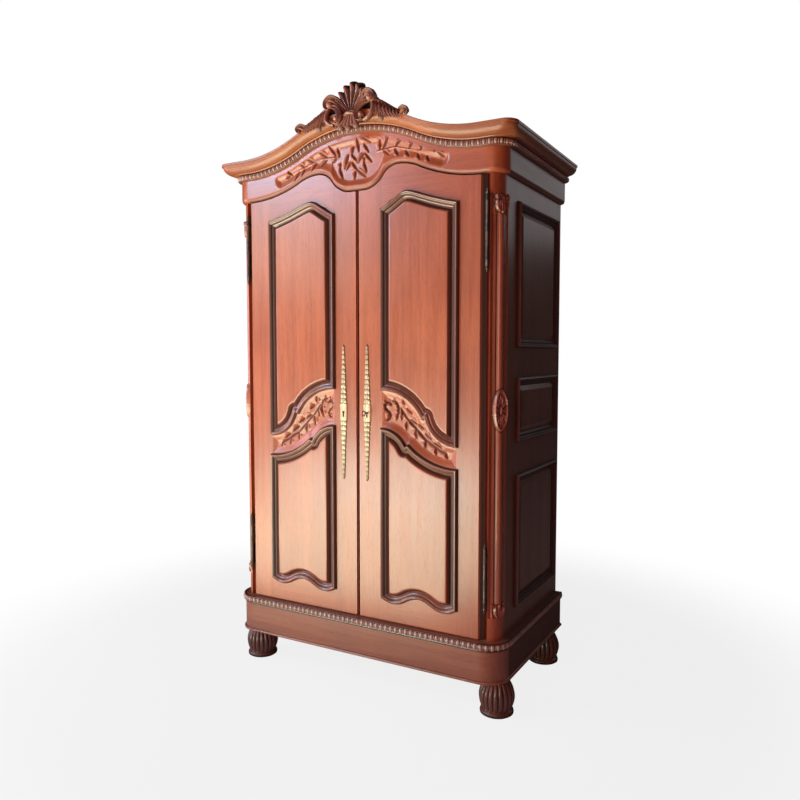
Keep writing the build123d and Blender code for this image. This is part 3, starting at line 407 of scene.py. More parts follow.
def dress(finish, *nodes):
    """Give CAD nodes a finish"""
    for node in nodes:
        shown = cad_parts[node]
        shown.data.materials.clear()
        shown.data.materials.append(finish)


dress(inner_wood, "back_boards", "top_board")
dress(inner_wood_level, "base_deck", "corner_blocks", "plinth_rear", "hat_shelf", "shelf_cleats",
      "threshold")

# Front posts: solid mahogany corner posts with a rounded outer corner, tenoned into base and frieze.
# Each carries a pilaster strip, turned to face the corner: a half column with a leaf cap, a carved
# oval medallion at half height and a leaf foot, glued into a stopped flat.
SIDES = ((1, "right"), (-1, "left"))
PALE, DEEP = (0.48, 0.112, 0.042), (0.28, 0.055, 0.021)     # wood of the front
POST_RADIUS = 0.060
FLAT_DEPTH = 0.014
PILASTER_ANGLE = 62
PILASTER_HALF = 0.031
PILASTER_COLUMNS = 49
PILASTER_EDGE, PILASTER_BACK = 0.001, -0.0005   # height along the edges, and of the back
COLUMN_RADIUS, COLUMN_LEAST = 0.0155, 0.0035
STRIP_RISE, STRIP_SLOPE, STRIP_EASE = 0.003, 0.0085, 0.0135     # ground, and rise and width of the flanks
# painted shade in the gully beside the column
GULLY_WIDTH, GULLY_DEPTH, GULLY_SHADE = 0.0022, 0.005, 0.8
CAP_HEIGHT = 0.064
FOOT_LEAF_HEIGHT = 0.047
# Leaves: root and tip, each aside and up from the top of the cap or from the foot, then width and bow
CAP_LEAVES = (((0.009, -CAP_HEIGHT), (0.024, -0.020), 0.017, -0.004),
              ((0.004, -CAP_HEIGHT), (0.013, -0.010), 0.015, 0.0),
              ((0.0, -CAP_HEIGHT - 0.004), (0.0, -0.006), 0.019, 0.0))
FOOT_LEAVES = (((0.007, 0.0), (0.019, 0.040), 0.016, -0.003),
               ((0.0, 0.0), (0.0, FOOT_LEAF_HEIGHT), 0.021, 0.0))
LEAF_GROUND, LEAF_RISE, COLUMN_CUT = 0.010, 0.023, 0.012    # the column is cut down behind the leaves
CAP_COIL, COIL_RADIUS, COIL_TURNS, COIL_EYE = (0.0195, -0.013), 0.0115, 1.6, 0.004
COIL_GROUND, COIL_RISE, COIL_ZONE = 0.008, 0.017, 0.035
MEDALLION_HALF = (0.0305, 0.076)
MEDALLION_PETALS = 12
MEDALLION_RISE = 0.831      # middle of the medallion above the base
DISC_RISE, PETAL_RISE, RIM_RISE, BOSS_RISE = 0.0145, 0.0055, 0.008, 0.010
BOSS_SHARE, RIM_SHARE = 0.24, 0.82      # where the boss ends and the rim starts, as shares of the oval
LEFT_SHADE = 0.3            # share of the painted shade kept on the left pilaster


def relief(name, across, up, height, hollow, place, back, finish, body, slot, nodes=(), extra=None):
    """A carved board: a grid of heights over a face, closed behind at a depth"""
    rows, columns = across.shape
    index = np.arange(rows * columns).reshape(rows, columns)
    border = np.concatenate((index[0], index[1:, -1], index[-1, -2::-1], index[-2:0:-1, 0]))
    rear = place(across.ravel()[border], up.ravel()[border], np.full(border.shape, back))
    points = np.vstack((place(across, up, height).reshape(-1, 3), rear)).tolist()
    first, count = rows * columns, len(border)
    faces = grid_faces(rows, columns)
    for here in range(count):
        ahead = (here + 1) % count
        faces.append((int(border[here]), int(border[ahead]), first + ahead, first + here))
    faces.append(tuple(range(first, first + count)))
    shade = list(hollow.ravel()) + [0.0] * count
    if extra:
        points, faces = joined((points, faces), extra)
        shade += [0.0] * (len(points) - len(shade))
    return piece(name, points, faces, finish, body, slot, nodes, shade)


def leaf_on(x, z, root, tip, width, bow=0.0):
    """Height from 0 to 1 of a carved leaf with a midrib, and the painted shade along its edge"""
    run, rise = tip[0] - root[0], tip[1] - root[1]
    length = (run * run + rise * rise) ** 0.5
    along = ((x - root[0]) * run + (z - root[1]) * rise) / length ** 2
    held = np.clip(along, 0.0, 1.0)
    across = ((z - root[1]) * run - (x - root[0]) * rise) / length - bow * 4 * held * (1 - held)
    half = width / 2 * np.sqrt(np.sin(pi * held ** 0.8).clip(0.0, 1.0)) + 1e-5
    share = np.abs(across) / half
    inside = (along > 0) & (along < 1) & (share < 1)
    swell = 0.5 + 0.5 * np.sqrt(np.clip(1 - share ** 2, 0, 1)) - 0.3 * np.exp(-(share / 0.2) ** 2)
    near = (along > 0) & (along < 1) & (share >= 1)
    cut = np.exp(-((np.abs(across) - half) / 0.0022) ** 2)
    return np.where(inside, swell, 0.0), np.where(near, cut, 0.0)


def coil_on(x, z, middle, radius, turns, facing, width):
    """Height from 0 to 1 of a carved scroll that winds in to its eye, and the painted shade between its
    turns
    """
    dx, dz = (x - middle[0]) * facing, z - middle[1]
    away = np.hypot(dx, dz)
    angle = np.arctan2(dz, dx) / (2 * pi)
    wound = (1 - away / radius) * turns - angle
    offset = np.abs(wound - np.round(wound)) * 2
    ridge = np.sqrt(np.clip(1 - offset ** 2, 0, 1))
    eye = np.sqrt(np.clip(1 - (away / (width * 0.9)) ** 2, 0, 1))
    inside = away < radius
    rim = np.exp(-((away - radius) / 0.0025) ** 2)
    return np.where(inside, np.maximum(0.35 + 0.55 * ridge, eye), 0.0), np.where(inside, offset ** 3, rim)


def carve_leaves(x, z, leaves, ground, rise, shade):
    """Raise leaves, each (root, tip, width, bow), out of a ground and paint shade round them"""
    for root, tip, width, bow in leaves:
        swell, cut = leaf_on(x, z, root, tip, width, bow)
        ground = np.where(swell > 0, np.maximum(ground, rise * swell), ground)
        shade = np.maximum(np.where(swell > 0, shade * 0.3, shade), cut * 0.9)
    return ground, shade


def carve_strokes(x, z, strokes, width, ridge, depth):
    """Leaves cut along short strokes: a rib on the upper left of each and a groove along it, painted with
    shadow
    """
    height, shade = np.zeros(x.shape), np.zeros(x.shape)
    for x0, z0, x1, z1 in strokes:
        run, rise = x1 - x0, z1 - z0
        length = (run * run + rise * rise) ** 0.5
        along = np.clip(((x - x0) * run + (z - z0) * rise) / length ** 2, 0.0, 1.0)
        away = np.hypot(x - x0 - run * along, z - z0 - rise * along)
        facing = 1 if rise * 0.75 + run * 0.66 > 0 else -1
        across = ((z - z0) * run - (x - x0) * rise) / length * facing
        half = width * (0.30 + 0.25 * np.sin(pi * along))
        groove = np.exp(-(away / half) ** 2)
        beside = np.exp(-((across - 1.5 * half) / (1.3 * half)) ** 2)
        rib = beside * np.exp(-((away - 1.5 * half) / (1.6 * half)) ** 2)
        height = height + ridge * rib * (across > 0) * np.sin(pi * along) - depth * groove
        # painted shadow along each groove
        shade = np.maximum(shade, np.clip(1.2 * groove - 0.30, 0.0, 0.8))
    return np.clip(height, -1.5 * depth, 1.5 * ridge), shade


def leaf_pairs(table, level):
    """Each leaf of a table on both sides of the middle, or once on the middle, set at a level"""
    return [((side * root[0], level + root[1]), (side * tip[0], level + tip[1]), width, side * bow)
            for root, tip, width, bow in table for side in ((-1, 1) if tip[0] else (1,))]


post_low, post_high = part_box("post_front_right")
x_body, y_front, z_frieze = post_high.x, post_low.y, post_high.z
post_mahogany = mahogany("post_mahogany", "z", PALE, DEEP)
pilaster_mahogany = mahogany("pilaster_mahogany", "z", (0.50, 0.15, 0.075), (0.28, 0.07, 0.038),
                             gloss=0.26, polish=0.6)
dress(post_mahogany, "post_front_left", "post_front_right")
pilaster_low, pilaster_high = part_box("pilaster_right")
z_foot_leaf, z_cap = pilaster_low.z, pilaster_high.z
z_medallion = z_deck + MEDALLION_RISE
turned = radians(PILASTER_ANGLE)
# Rows of points stand closer together where there is carving
levels = np.concatenate((
    np.linspace(z_foot_leaf, z_foot_leaf + FOOT_LEAF_HEIGHT + 0.006, 32),
    np.linspace(z_foot_leaf + 0.06, z_medallion - 0.085, 40),
    np.linspace(z_medallion - 0.082, z_medallion + 0.082, 96),
    np.linspace(z_medallion + 0.085, z_cap - CAP_HEIGHT - 0.012, 40),
    np.linspace(z_cap - CAP_HEIGHT - 0.006, z_cap, 44)))
across, up = np.meshgrid(np.linspace(-PILASTER_HALF, PILASTER_HALF, PILASTER_COLUMNS), levels)
column = np.sqrt(np.clip(COLUMN_RADIUS ** 2 - across ** 2, 0, None))
gully = np.exp(-((np.abs(across) - COLUMN_RADIUS - 0.002) / GULLY_WIDTH) ** 2)
strip = np.clip((PILASTER_HALF - np.abs(across)) / STRIP_EASE, 0, 1) * STRIP_SLOPE
height = np.where(column > 0, np.maximum(STRIP_RISE + column, COLUMN_LEAST), PILASTER_EDGE + strip)
height = height - GULLY_DEPTH * gully
hollow = gully * GULLY_SHADE
ring = np.hypot(across / MEDALLION_HALF[0], (up - z_medallion) / MEDALLION_HALF[1])
ray = np.arctan2((up - z_medallion) / MEDALLION_HALF[1], across / MEDALLION_HALF[0])
petal = np.abs(np.cos(MEDALLION_PETALS * ray / 2))
bowl = np.sin(pi * np.clip((ring - 0.2) / 0.62, 0, 1))
rim = np.exp(-((ring - 0.90) / 0.075) ** 2)
boss = np.sqrt(np.clip(1 - (ring / BOSS_SHARE) ** 2, 0, 1))
disc = DISC_RISE + PETAL_RISE * petal * bowl + RIM_RISE * rim + BOSS_RISE * boss
on_disc = ring < 1
height = np.where(on_disc, disc, height)
# painted shade between the petals, round the boss and the rim, round the leaves and between the turns of the
# coils
between_petals = np.clip(1 - petal * 1.6, 0, 1) * (ring > BOSS_SHARE) * (ring < RIM_SHARE)
disc_shade = between_petals + 0.8 * np.exp(-((ring - 0.27) / 0.03) ** 2)
hollow = np.where(on_disc, disc_shade, np.maximum(hollow, np.exp(-((ring - 1.02) / 0.03) ** 2)))
for leaves, zone in ((leaf_pairs(CAP_LEAVES, z_cap), up > z_cap - CAP_HEIGHT - 0.005),
                     (leaf_pairs(FOOT_LEAVES, z_foot_leaf), up < z_foot_leaf + FOOT_LEAF_HEIGHT + 0.003)):
    plain = np.where(zone, LEAF_GROUND, height)
    carved, shade = carve_leaves(across, up, leaves, plain, LEAF_RISE, hollow)
    height = np.where(zone, np.maximum(carved, np.minimum(height, COLUMN_CUT)), height)
    hollow = np.where(zone, shade, hollow)
for side in (-1, 1):
    middle = (side * CAP_COIL[0], z_cap + CAP_COIL[1])
    swell, cut = coil_on(across, up, middle, COIL_RADIUS, COIL_TURNS, -side, COIL_EYE)
    height = np.where(swell > 0, np.maximum(height, COIL_GROUND + COIL_RISE * swell), height)
    hollow = np.maximum(hollow, cut * (up > z_cap - COIL_ZONE))
height[:, 0] = height[:, -1] = PILASTER_EDGE
for side, label in SIDES:
    def on_post(a, z, out):
        reach = POST_RADIUS - FLAT_DEPTH + out
        x = x_body - POST_RADIUS + a * cos(turned) + reach * sin(turned)
        y = y_front + POST_RADIUS + a * sin(turned) - reach * cos(turned)
        return np.stack((side * x, y, z), axis=-1)

    # less painted shade on the left pilaster than on the right
    pilaster_shade = hollow * (1.0 if side > 0 else LEFT_SHADE)
    relief(f"pilaster_strip_{label}", across, up, height, pilaster_shade, on_post, PILASTER_BACK,
           pilaster_mahogany, "carcass", "carved_mahogany", [f"pilaster_{label}"])

# Sides: a mahogany frame of stiles and rails that holds three raised panels. The panels float in grooves,
# and a moulding is planted round each opening, mitred at the corners. Rear posts close the frame.
# Moulding: inwards from its outer edge, height and painted shade
MOULDING = ((0.0, -0.0005, 0.9), (0.0, 0.0015, 0.9), (0.0015, 0.0030, 0.8), (0.0038, 0.0100, 0.55),
            (0.0056, 0.0130, 0.1), (0.0075, 0.0140, 0.0), (0.0098, 0.0134, 0.0), (0.0112, 0.0120, 0.75),
            (0.0124, 0.0118, 0.6), (0.0142, 0.0108, 0.0), (0.0165, 0.0086, 0.0), (0.0184, 0.0064, 0.2),
            (0.0194, 0.0044, 0.95), (0.0206, 0.0040, 0.8), (0.0226, 0.0036, 0.0), (0.0252, 0.0018, 0.0),
            (0.0280, -0.0012, 0.2), (0.0312, -0.0034, 0.6), (0.0330, -0.0046, 1.0))
SILL_SHADE = 0.15                       # share of the painted shade kept along a sill, where light falls from above
SIDE_SHADE, SLOPE_START = 0.65, 0.0112  # least painted shade on the upright runs, from this far inwards
MOULD_LAP = 0.008
MOULD_CREASE = 32                       # edges steeper than this stay sharp, in degrees
SIDE_TOP_RAIL = 0.079                   # from the head of the upper opening to the frieze


def opening_ring(sill, head, low, high, inwards, steps):
    """The edge of an opening moved inwards, from its lower corner along the sill and back along the head"""
    where = np.linspace(low, high, 900)
    stops = np.linspace(low + inwards, high - inwards, steps)
    outside = np.concatenate((where - (high - low), where, where + (high - low)))
    gap = inwards ** 2 - (stops[:, None] - outside) ** 2
    reach = np.where(gap >= 0, np.sqrt(np.clip(gap, 0, None)), np.nan)
    foot, top = sill(np.clip(outside, low, high)), head(np.clip(outside, low, high))
    if inwards > 0:
        lower, upper = np.nanmax(foot + reach, axis=1), np.nanmin(top - reach, axis=1)
    else:
        lower, upper = np.nanmin(foot - reach, axis=1), np.nanmax(top + reach, axis=1)
    return np.concatenate((np.stack((stops, lower), axis=1), np.stack((stops, upper), axis=1)[::-1]))


def planted_moulding(opening, profile, place, steps):
    """A moulding round an opening; profile is (inwards from its outer edge, height, painted shade)"""
    rings = [place(opening_ring(*opening, inwards - MOULD_LAP, steps), height)
             for inwards, height, _ in profile]
    points = np.stack(rings, axis=1).reshape(-1, 3).tolist()
    # upright runs carry more painted shade, sills less
    side = [max(shade_share, SIDE_SHADE * (inwards > SLOPE_START)) for inwards, _, shade_share in profile]
    sill = [SILL_SHADE * shade_share for _, _, shade_share in profile]
    head = [shade_share for _, _, shade_share in profile]
    shade = side + sill * (steps - 2) + side + side + head * (steps - 2) + side
    return points, grid_faces(2 * steps, len(profile), round_columns=True, round_rows=True), shade


def carved_group(name, parts, finish, body, slot, nodes, sharp=70):
    """Several carved parts as one piece"""
    points, faces = joined(*[part[:2] for part in parts])
    shade = [value for part in parts for value in part[2]]
    piece(name, points, faces, finish, body, slot, nodes, shade, sharp)


side_mahogany = mahogany("side_mahogany", "z", (0.30, 0.095, 0.045), (0.15, 0.040, 0.021))
side_panel_mahogany = mahogany("side_panel_mahogany", "z", (0.30, 0.10, 0.047), (0.16, 0.044, 0.022))
moulding_mahogany = mahogany("moulding_mahogany", "z", (0.29, 0.095, 0.054), (0.145, 0.042, 0.025),
                             gloss=0.26, polish=0.8)
dress(side_mahogany, "side_frame_left", "side_frame_right", "posts_rear")
dress(side_panel_mahogany, "side_panels_left", "side_panels_right")
mould_low, mould_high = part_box("side_mouldings_right")
door_bay = z_frieze - z_deck
side_openings = ((0.090, 0.577), (0.712, 0.937), (1.060, door_bay - SIDE_TOP_RAIL))     # above the base
for side, label in SIDES:
    def on_side(outline, out):
        x = np.full(len(outline), side * (x_body + out))
        return np.stack((x, outline[:, 0], outline[:, 1]), axis=-1)

    rings = []
    for foot, head in side_openings:
        opening = (lambda y: np.full(y.shape, z_deck + foot), lambda y: np.full(y.shape, z_deck + head),
                   mould_low.y + MOULD_LAP, mould_high.y - MOULD_LAP)
        rings.append(planted_moulding(opening, MOULDING, on_side, 2))
    carved_group(f"side_panel_mouldings_{label}", rings, moulding_mahogany, "carcass", "mahogany",
                 [f"side_mouldings_{label}"], MOULD_CREASE)

# Frieze: a thick mahogany board over the doors with a shaped lower edge, eased to a rounded bevel. Its
# middle is sunk, and carved with hanging foliage and a leafy branch to each side.
PENDANT_HALF, PENDANT_DROP = 0.030, 0.004
PEAK_X, PEAK_RISE = 0.180, 0.076
EAVE_X = 0.516
ARCH_RISE, ARCH_HALF_SPAN = 0.118, 0.520
FRIEZE_RADIUS = 0.065
FRIEZE_THICK, FRIEZE_SIDE_THICK = 0.036, 0.029
# the lower bevel of the frieze is painted with shade, darkest at its edge
EDGE_BEVEL, BEVEL_DEPTH, EDGE_DROP, EDGE_SHADE = 0.016, 0.0145, 0.004, 0.75
EDGE_ROWS = (0.0, 0.0018, 0.0036, 0.006, 0.009, 0.0125, 0.016, 0.019)
SINK_DEPTH = 0.0095
SINK_MARGIN = 0.014
SINK_SLOPE = 0.030
SINK_END_X, SINK_END_RISE, SINK_END_HALF = 0.357, 0.070, 0.034
CARVED_HALF, CARVED_EASE = 0.40, 0.006      # half width of the fine grid, and where carving dies out
STROKE_WIDTH, STROKE_RIDGE, STROKE_DEPTH = 0.0095, 0.0042, 0.0032
STEM_WIDTH, STEM_RISE = 0.0032, 0.0028
# Leaves on the frieze in mm from the middle and above the frieze: the hanging ones, then both branches
FRIEZE_LEAVES = (
    (2, 189, 7, 140), (7, 203, 60, 166), (29, 167, 51, 134), (-16, 162, -25, 133), (-25, 133, -2, 108),
    (29, 130, 2, 100), (33, 133, 64, 96), (33, 115, 29, 100), (29, 100, 42, 62), (-25, 107, -3, 75),
    (-3, 75, 37, 44), (-7, 68, -12, 42), (-39, 135, -57, 85), (-30, 104, -48, 80), (-75, 106, -80, 88),
    (-80, 88, -66, 48), (99, 135, 103, 171), (112, 137, 146, 180), (163, 138, 193, 155),
    (116, 129, 138, 112), (163, 130, 180, 103), (222, 123, 247, 141), (271, 109, 287, 128),
    (328, 95, 344, 110), (209, 117, 226, 94), (259, 100, 271, 77), (296, 88, 308, 66),
    (344, 92, 367, 75), (-98, 139, -126, 177), (-80, 133, -89, 164), (-140, 137, -169, 156),
    (-202, 125, -226, 136), (-246, 112, -261, 121), (-306, 87, -325, 105), (-94, 127, -112, 114),
    (-140, 125, -169, 102), (-188, 120, -207, 91), (-241, 103, -256, 74), (-271, 95, -291, 62),
    (-316, 85, -336, 79))
FRIEZE_STEMS = (
    (88, 129, 165, 135), (165, 135, 260, 110), (260, 110, 350, 92), (-88, 129, -165, 132),
    (-165, 132, -240, 110), (-240, 110, -320, 86))


def ogee(x, start, end, share):
    """Height at x on two tangent arcs, level at both ends, that meet a share of the way along"""
    (x0, z0), (x1, z1) = start, end

    def arc(foot_x, foot_z, run, rise):
        radius = (run * run + rise * rise) / (2 * abs(rise))
        bulge = radius - np.sqrt(np.clip(radius ** 2 - (x - foot_x) ** 2, 0, None))
        return foot_z + np.sign(rise) * bulge

    first = arc(x0, z0, share * (x1 - x0), share * (z1 - z0))
    last = arc(x1, z1, (1 - share) * (x0 - x1), (1 - share) * (z0 - z1))
    return np.where((x - x0) * np.sign(x1 - x0) < share * abs(x1 - x0), first, last)


def frieze_edge(x):
    """Lower edge of the frieze above the level of its ends"""
    away = np.abs(x)
    swing = ogee(away, (PENDANT_HALF, -PENDANT_DROP), (PEAK_X, PEAK_RISE), 0.57)
    fall = ogee(away, (PEAK_X, PEAK_RISE), (EAVE_X, 0.0), 0.25)
    return np.select((away < PENDANT_HALF, away < PEAK_X, away < EAVE_X), (-PENDANT_DROP, swing, fall), 0.0)


def arch(x):
    """Rise of the cornice above the level of its ends"""
    away = np.abs(x)
    return np.where(away < ARCH_HALF_SPAN, ogee(away, (0.0, ARCH_RISE), (ARCH_HALF_SPAN, 0.0), 0.5), 0.0)


frieze_low, frieze_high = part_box("frieze_front")
x_frieze, y_frieze, z_band = frieze_high.x, frieze_low.y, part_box("frieze_sides")[1].z
frieze_mahogany = mahogany("frieze_mahogany", "x", PALE, DEEP)
frieze_side_mahogany = mahogany("frieze_side_mahogany", "y", (0.33, 0.105, 0.048), (0.17, 0.045, 0.022))
x_flat = x_frieze - FRIEZE_RADIUS
columns = np.concatenate((np.linspace(-x_flat, -CARVED_HALF, 24)[:-1],
                          np.linspace(-CARVED_HALF, CARVED_HALF, 560),
                          np.linspace(CARVED_HALF, x_flat, 24)[1:]))
side_high = z_band - z_frieze
top = side_high + arch(columns)
bottom = frieze_edge(columns)
shares = np.linspace(0, 1, 100)[1:]
rows = [bottom + step for step in EDGE_ROWS]
rows += [bottom + EDGE_ROWS[-1] + (top - bottom - EDGE_ROWS[-1]) * share for share in shares]
across = np.tile(columns, (len(rows), 1))
up = np.array(rows)
from_edge = (up - bottom) * np.cos(np.arctan(np.gradient(bottom, columns)))
from_top = (top - up) * np.cos(np.arctan(np.gradient(top, columns)))
ease = np.clip(1 - from_edge / EDGE_BEVEL, 0, 1)
height = -BEVEL_DEPTH * (1 - np.sqrt(1 - ease ** 2)) - EDGE_DROP * (ease > 0.98)
away = np.abs(across)
end_room = SINK_END_HALF - np.hypot(np.clip(away - SINK_END_X, 0, None), up - SINK_END_RISE)
room = np.minimum(from_edge, from_top) - SINK_MARGIN
room = np.where(away > SINK_END_X, np.minimum(room, end_room), room)
sunk = np.clip(room / SINK_SLOPE, 0, 1)
ground = -SINK_DEPTH * sunk ** 2 * (3 - 2 * sunk)
strokes = [tuple(value / 1000 for value in stroke) for stroke in FRIEZE_LEAVES]
carved, hollow = carve_strokes(across, up, strokes, STROKE_WIDTH, STROKE_RIDGE, STROKE_DEPTH)
for stroke in FRIEZE_STEMS:
    x0, z0, x1, z1 = (value / 1000 for value in stroke)
    along = np.clip((across - x0) / (x1 - x0), 0, 1)
    off_stem = np.hypot(across - x0 - (x1 - x0) * along, up - z0 - (z1 - z0) * along)
    carved = carved + STEM_RISE * np.exp(-(off_stem / STEM_WIDTH) ** 2)
height = np.where(room > 0, ground + carved * np.clip(room / CARVED_EASE, 0, 1), height)
# painted shadow in the leaf grooves, and painted shade along the lower bevel
hollow = np.maximum(hollow * (room > 0), EDGE_SHADE * np.clip(1.25 * ease - 0.25, 0, 1))


def on_frieze(x, z, out):
    return np.stack((x, y_frieze - out, z + z_frieze), axis=-1)


side_profile = [(-BEVEL_DEPTH, 0.0), (-BEVEL_DEPTH - EDGE_DROP, 0.0), (-FRIEZE_SIDE_THICK, 0.0),
                (-FRIEZE_SIDE_THICK, side_high), (0.0, side_high), (0.0, EDGE_BEVEL)]
side_profile += [(-BEVEL_DEPTH * (1 - (1 - (1 - step / EDGE_BEVEL) ** 2) ** 0.5), step)
                 for step in EDGE_ROWS[-3:0:-1]]
frieze_front, frieze_right, frieze_left = plan_line(x_frieze, y_frieze, FRIEZE_RADIUS, y_rear)
corners = [moulded_run(part, side_profile, z_frieze)
           for part in (frieze_front[:CORNER_STEPS], frieze_front[-CORNER_STEPS:])]
relief("frieze_board", across, up, height, hollow, on_frieze, -FRIEZE_THICK, frieze_mahogany, "carcass",
       "mahogany", ["frieze_front"], joined(*corners))
sides = [moulded_run(part, side_profile, z_frieze) for part in (frieze_left, frieze_right)]
piece("frieze_side_boards", *joined(*sides), frieze_side_mahogany, "carcass", "mahogany",
      ["frieze_sides"])

# Cornice: a rounded strip carved with eggs and darts, and above it the crown, a wide quarter-round
# moulding under a square edge. Both rise in an arch at the front and run level along the sides.
BAND_BACK = -0.028          # back of both mouldings, from the face of the frieze
BAND_STRIP = ((BAND_BACK, 0.0005), (0.006, 0.0005), (0.0115, 0.003), (0.0135, 0.008), (0.0135, 0.018),
              (0.0115, 0.0235), (0.006, 0.026), (BAND_BACK, 0.026))
EGG_PITCH = 0.0205
EGG_SIZE = (0.0070, 0.0100, 0.0062)
DART_SIZE = (0.0022, 0.0105, 0.0050)
EGG_LEVEL, EGG_SEAT = 0.0135, 0.0128        # above the foot of the strip, and out from the frieze
CROWN_REACH = 0.052
CROWN_RADIUS = 0.045
CROWN_FOOT = ((BAND_BACK, 0.0), (0.016, 0.0), (0.018, 0.003))
OVOLO, OVOLO_X, OVOLO_Z = 0.030, 0.0185, 0.033      # radius and middle of the quarter round
CROWN_EDGE = ((0.0515, 0.0335), (0.052, 0.035), (0.052, 0.0425), (0.0505, 0.044), (BAND_BACK, 0.044))

z_crown, z_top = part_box("cornice_sides")[0].z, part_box("cornice_sides")[1].z
x_crown, y_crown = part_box("cornice_front")[1].x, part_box("cornice_front")[0].y
whole_frieze = frieze_left[::-1] + frieze_front[1:-1] + frieze_right
band_mahogany = mahogany("band_mahogany", "x", (0.26, 0.09, 0.052), (0.13, 0.040, 0.025))
piece("egg_band", *moulded_run(whole_frieze, BAND_STRIP, z_band, arch), band_mahogany, "carcass",
      "carved_mahogany", ["cornice_band"])
eggs = carved_row(whole_frieze, EGG_PITCH, z_band + EGG_LEVEL, EGG_SEAT, arch)
carved_beads("egg_band_carving", eggs, EGG_PITCH, sheen_bead_mahogany, EGG_SIZE, DART_SIZE, "carcass")
quarter = [(OVOLO_X + OVOLO * sin(t), OVOLO_Z - OVOLO * cos(t)) for t in np.linspace(0, pi / 2, 10)]
crown_profile = list(CROWN_FOOT) + quarter + list(CROWN_EDGE)


def widening_run(inner, outer):
    """The crown's profile carried between an inner and an outer plan line, raised by the arch"""
    points = []
    for (x, y, nx, ny), (far_x, far_y, _, _) in zip(inner, outer):
        for out, rise in crown_profile:
            share = max(out, 0.0) / CROWN_REACH
            behind = min(out, 0.0)
            there = x + (far_x - x) * share + nx * behind
            level = z_crown + rise + float(arch(there))
            points.append((there, y + (far_y - y) * share + ny * behind, level))
    return points, tube_faces(len(inner), len(crown_profile))


crown_front, crown_right, crown_left = plan_line(x_crown, y_crown, CROWN_RADIUS, y_rear)
crown_mahogany = mahogany("crown_mahogany", "x", (0.44, 0.135, 0.047), (0.25, 0.062, 0.024),
                          gloss=0.36, polish=0.15)
crown_side_mahogany = mahogany("crown_side_mahogany", "y", (0.40, 0.135, 0.055), (0.22, 0.06, 0.027),
                               gloss=0.27)
piece("crown_arch", *widening_run(frieze_front, crown_front), crown_mahogany, "carcass", "mahogany",
      ["cornice_front"])
piece("crown_sides", *joined(widening_run(frieze_left, crown_left), widening_run(frieze_right, crown_right)),
      crown_side_mahogany, "carcass", "mahogany", ["cornice_sides"])

# Crest: a carved mahogany shell on the crown of the arch, held by a collar over a small lobed skirt. A
# scroll rolls out to each side of it and leaves trail down the crown; painted shade lies in the cuts.
SHELL_LOBES = 7
SHELL_SPREAD = 53
SHELL_RADII = (0.131, 0.088)        # in the middle and at the outer lobes
SHELL_LEAN = 0.016
SHELL_FACE, SHELL_BACK = 0.004, -0.024
FLUTE_DEPTH, SHELL_ROLL, SHELL_TURN = 0.013, 0.010, 0.030   # flutes, rolled edge and how far it turns in
SHELL_SINK = 0.016                  # foot of the shell below the top of the arch
CREST_BACK, CREST_X = 0.010, 0.010  # behind the front of the crown, and to the right of the middle
# Sections of a carved blade: across and out, as shares of its half width and rise, and painted shade
GUTTER = ((-1.0, 0.25, 0.3), (-0.92, 0.85, 0.0), (-0.70, 1.0, 0.0), (-0.42, 0.55, 0.25), (0.0, 0.35, 0.6),
          (0.42, 0.55, 0.25), (0.70, 1.0, 0.0), (0.92, 0.85, 0.0), (1.0, 0.25, 0.3), (0.6, -0.5, 0.6),
          (-0.6, -0.5, 0.6))
REED = ((-1.0, -0.2, 0.8), (-0.80, 0.55, 0.25), (-0.42, 0.92, 0.0), (0.0, 1.0, 0.0), (0.42, 0.92, 0.0),
        (0.80, 0.55, 0.25), (1.0, -0.2, 0.8), (0.5, -0.6, 0.8), (-0.5, -0.6, 0.8))
# Paths of the blades of one side: from the middle, behind the front of the crest, above the arch
SCROLL = ((0.018, 0.0, -0.008), (0.040, 0.0, 0.022), (0.062, -0.004, 0.044), (0.082, -0.008, 0.051),
          (0.100, -0.010, 0.040), (0.102, -0.010, 0.024), (0.091, -0.010, 0.016))
LOWER_SCROLL = ((0.080, -0.008, 0.022), (0.060, -0.014, 0.015), (0.043, -0.020, -0.003),
                (0.037, -0.023, -0.024), (0.045, -0.024, -0.041), (0.060, -0.024, -0.040))
EYE_ROLL = ((0.096, -0.010, 0.016), (0.102, -0.016, -0.006), (0.099, -0.021, -0.028),
            (0.084, -0.023, -0.044), (0.066, -0.023, -0.050))
SPINE = ((0.090, -0.004, 0.024), (0.118, 0.0, 0.015), (0.146, 0.004, -0.001), (0.175, 0.006, -0.019),
         (0.204, 0.008, -0.034))
END_CURL = ((0.198, 0.006, -0.044), (0.212, -0.004, -0.034), (0.226, -0.008, -0.030),
            (0.238, -0.012, -0.038), (0.234, -0.016, -0.052))
# Each blade: its path, widths and rises along it, section and number of steps
SIDE_BLADES = (
    (SCROLL, (0.018, 0.024, 0.027, 0.028, 0.025, 0.020, 0.012),
     (0.014, 0.018, 0.022, 0.024, 0.023, 0.021, 0.016), GUTTER, 44),
    (LOWER_SCROLL, (0.012, 0.019, 0.021, 0.020, 0.018, 0.012),
     (0.012, 0.016, 0.018, 0.017, 0.016, 0.012), GUTTER, 36),
    (EYE_ROLL, (0.012, 0.016, 0.016, 0.016, 0.010), (0.012, 0.014, 0.015, 0.014, 0.010), REED, 30),
    (SPINE, (0.016, 0.018, 0.016, 0.014, 0.008), (0.012, 0.014, 0.012, 0.010, 0.006), REED, 24),
    (END_CURL, (0.016, 0.022, 0.024, 0.020, 0.010), (0.012, 0.016, 0.018, 0.016, 0.010), GUTTER, 26))
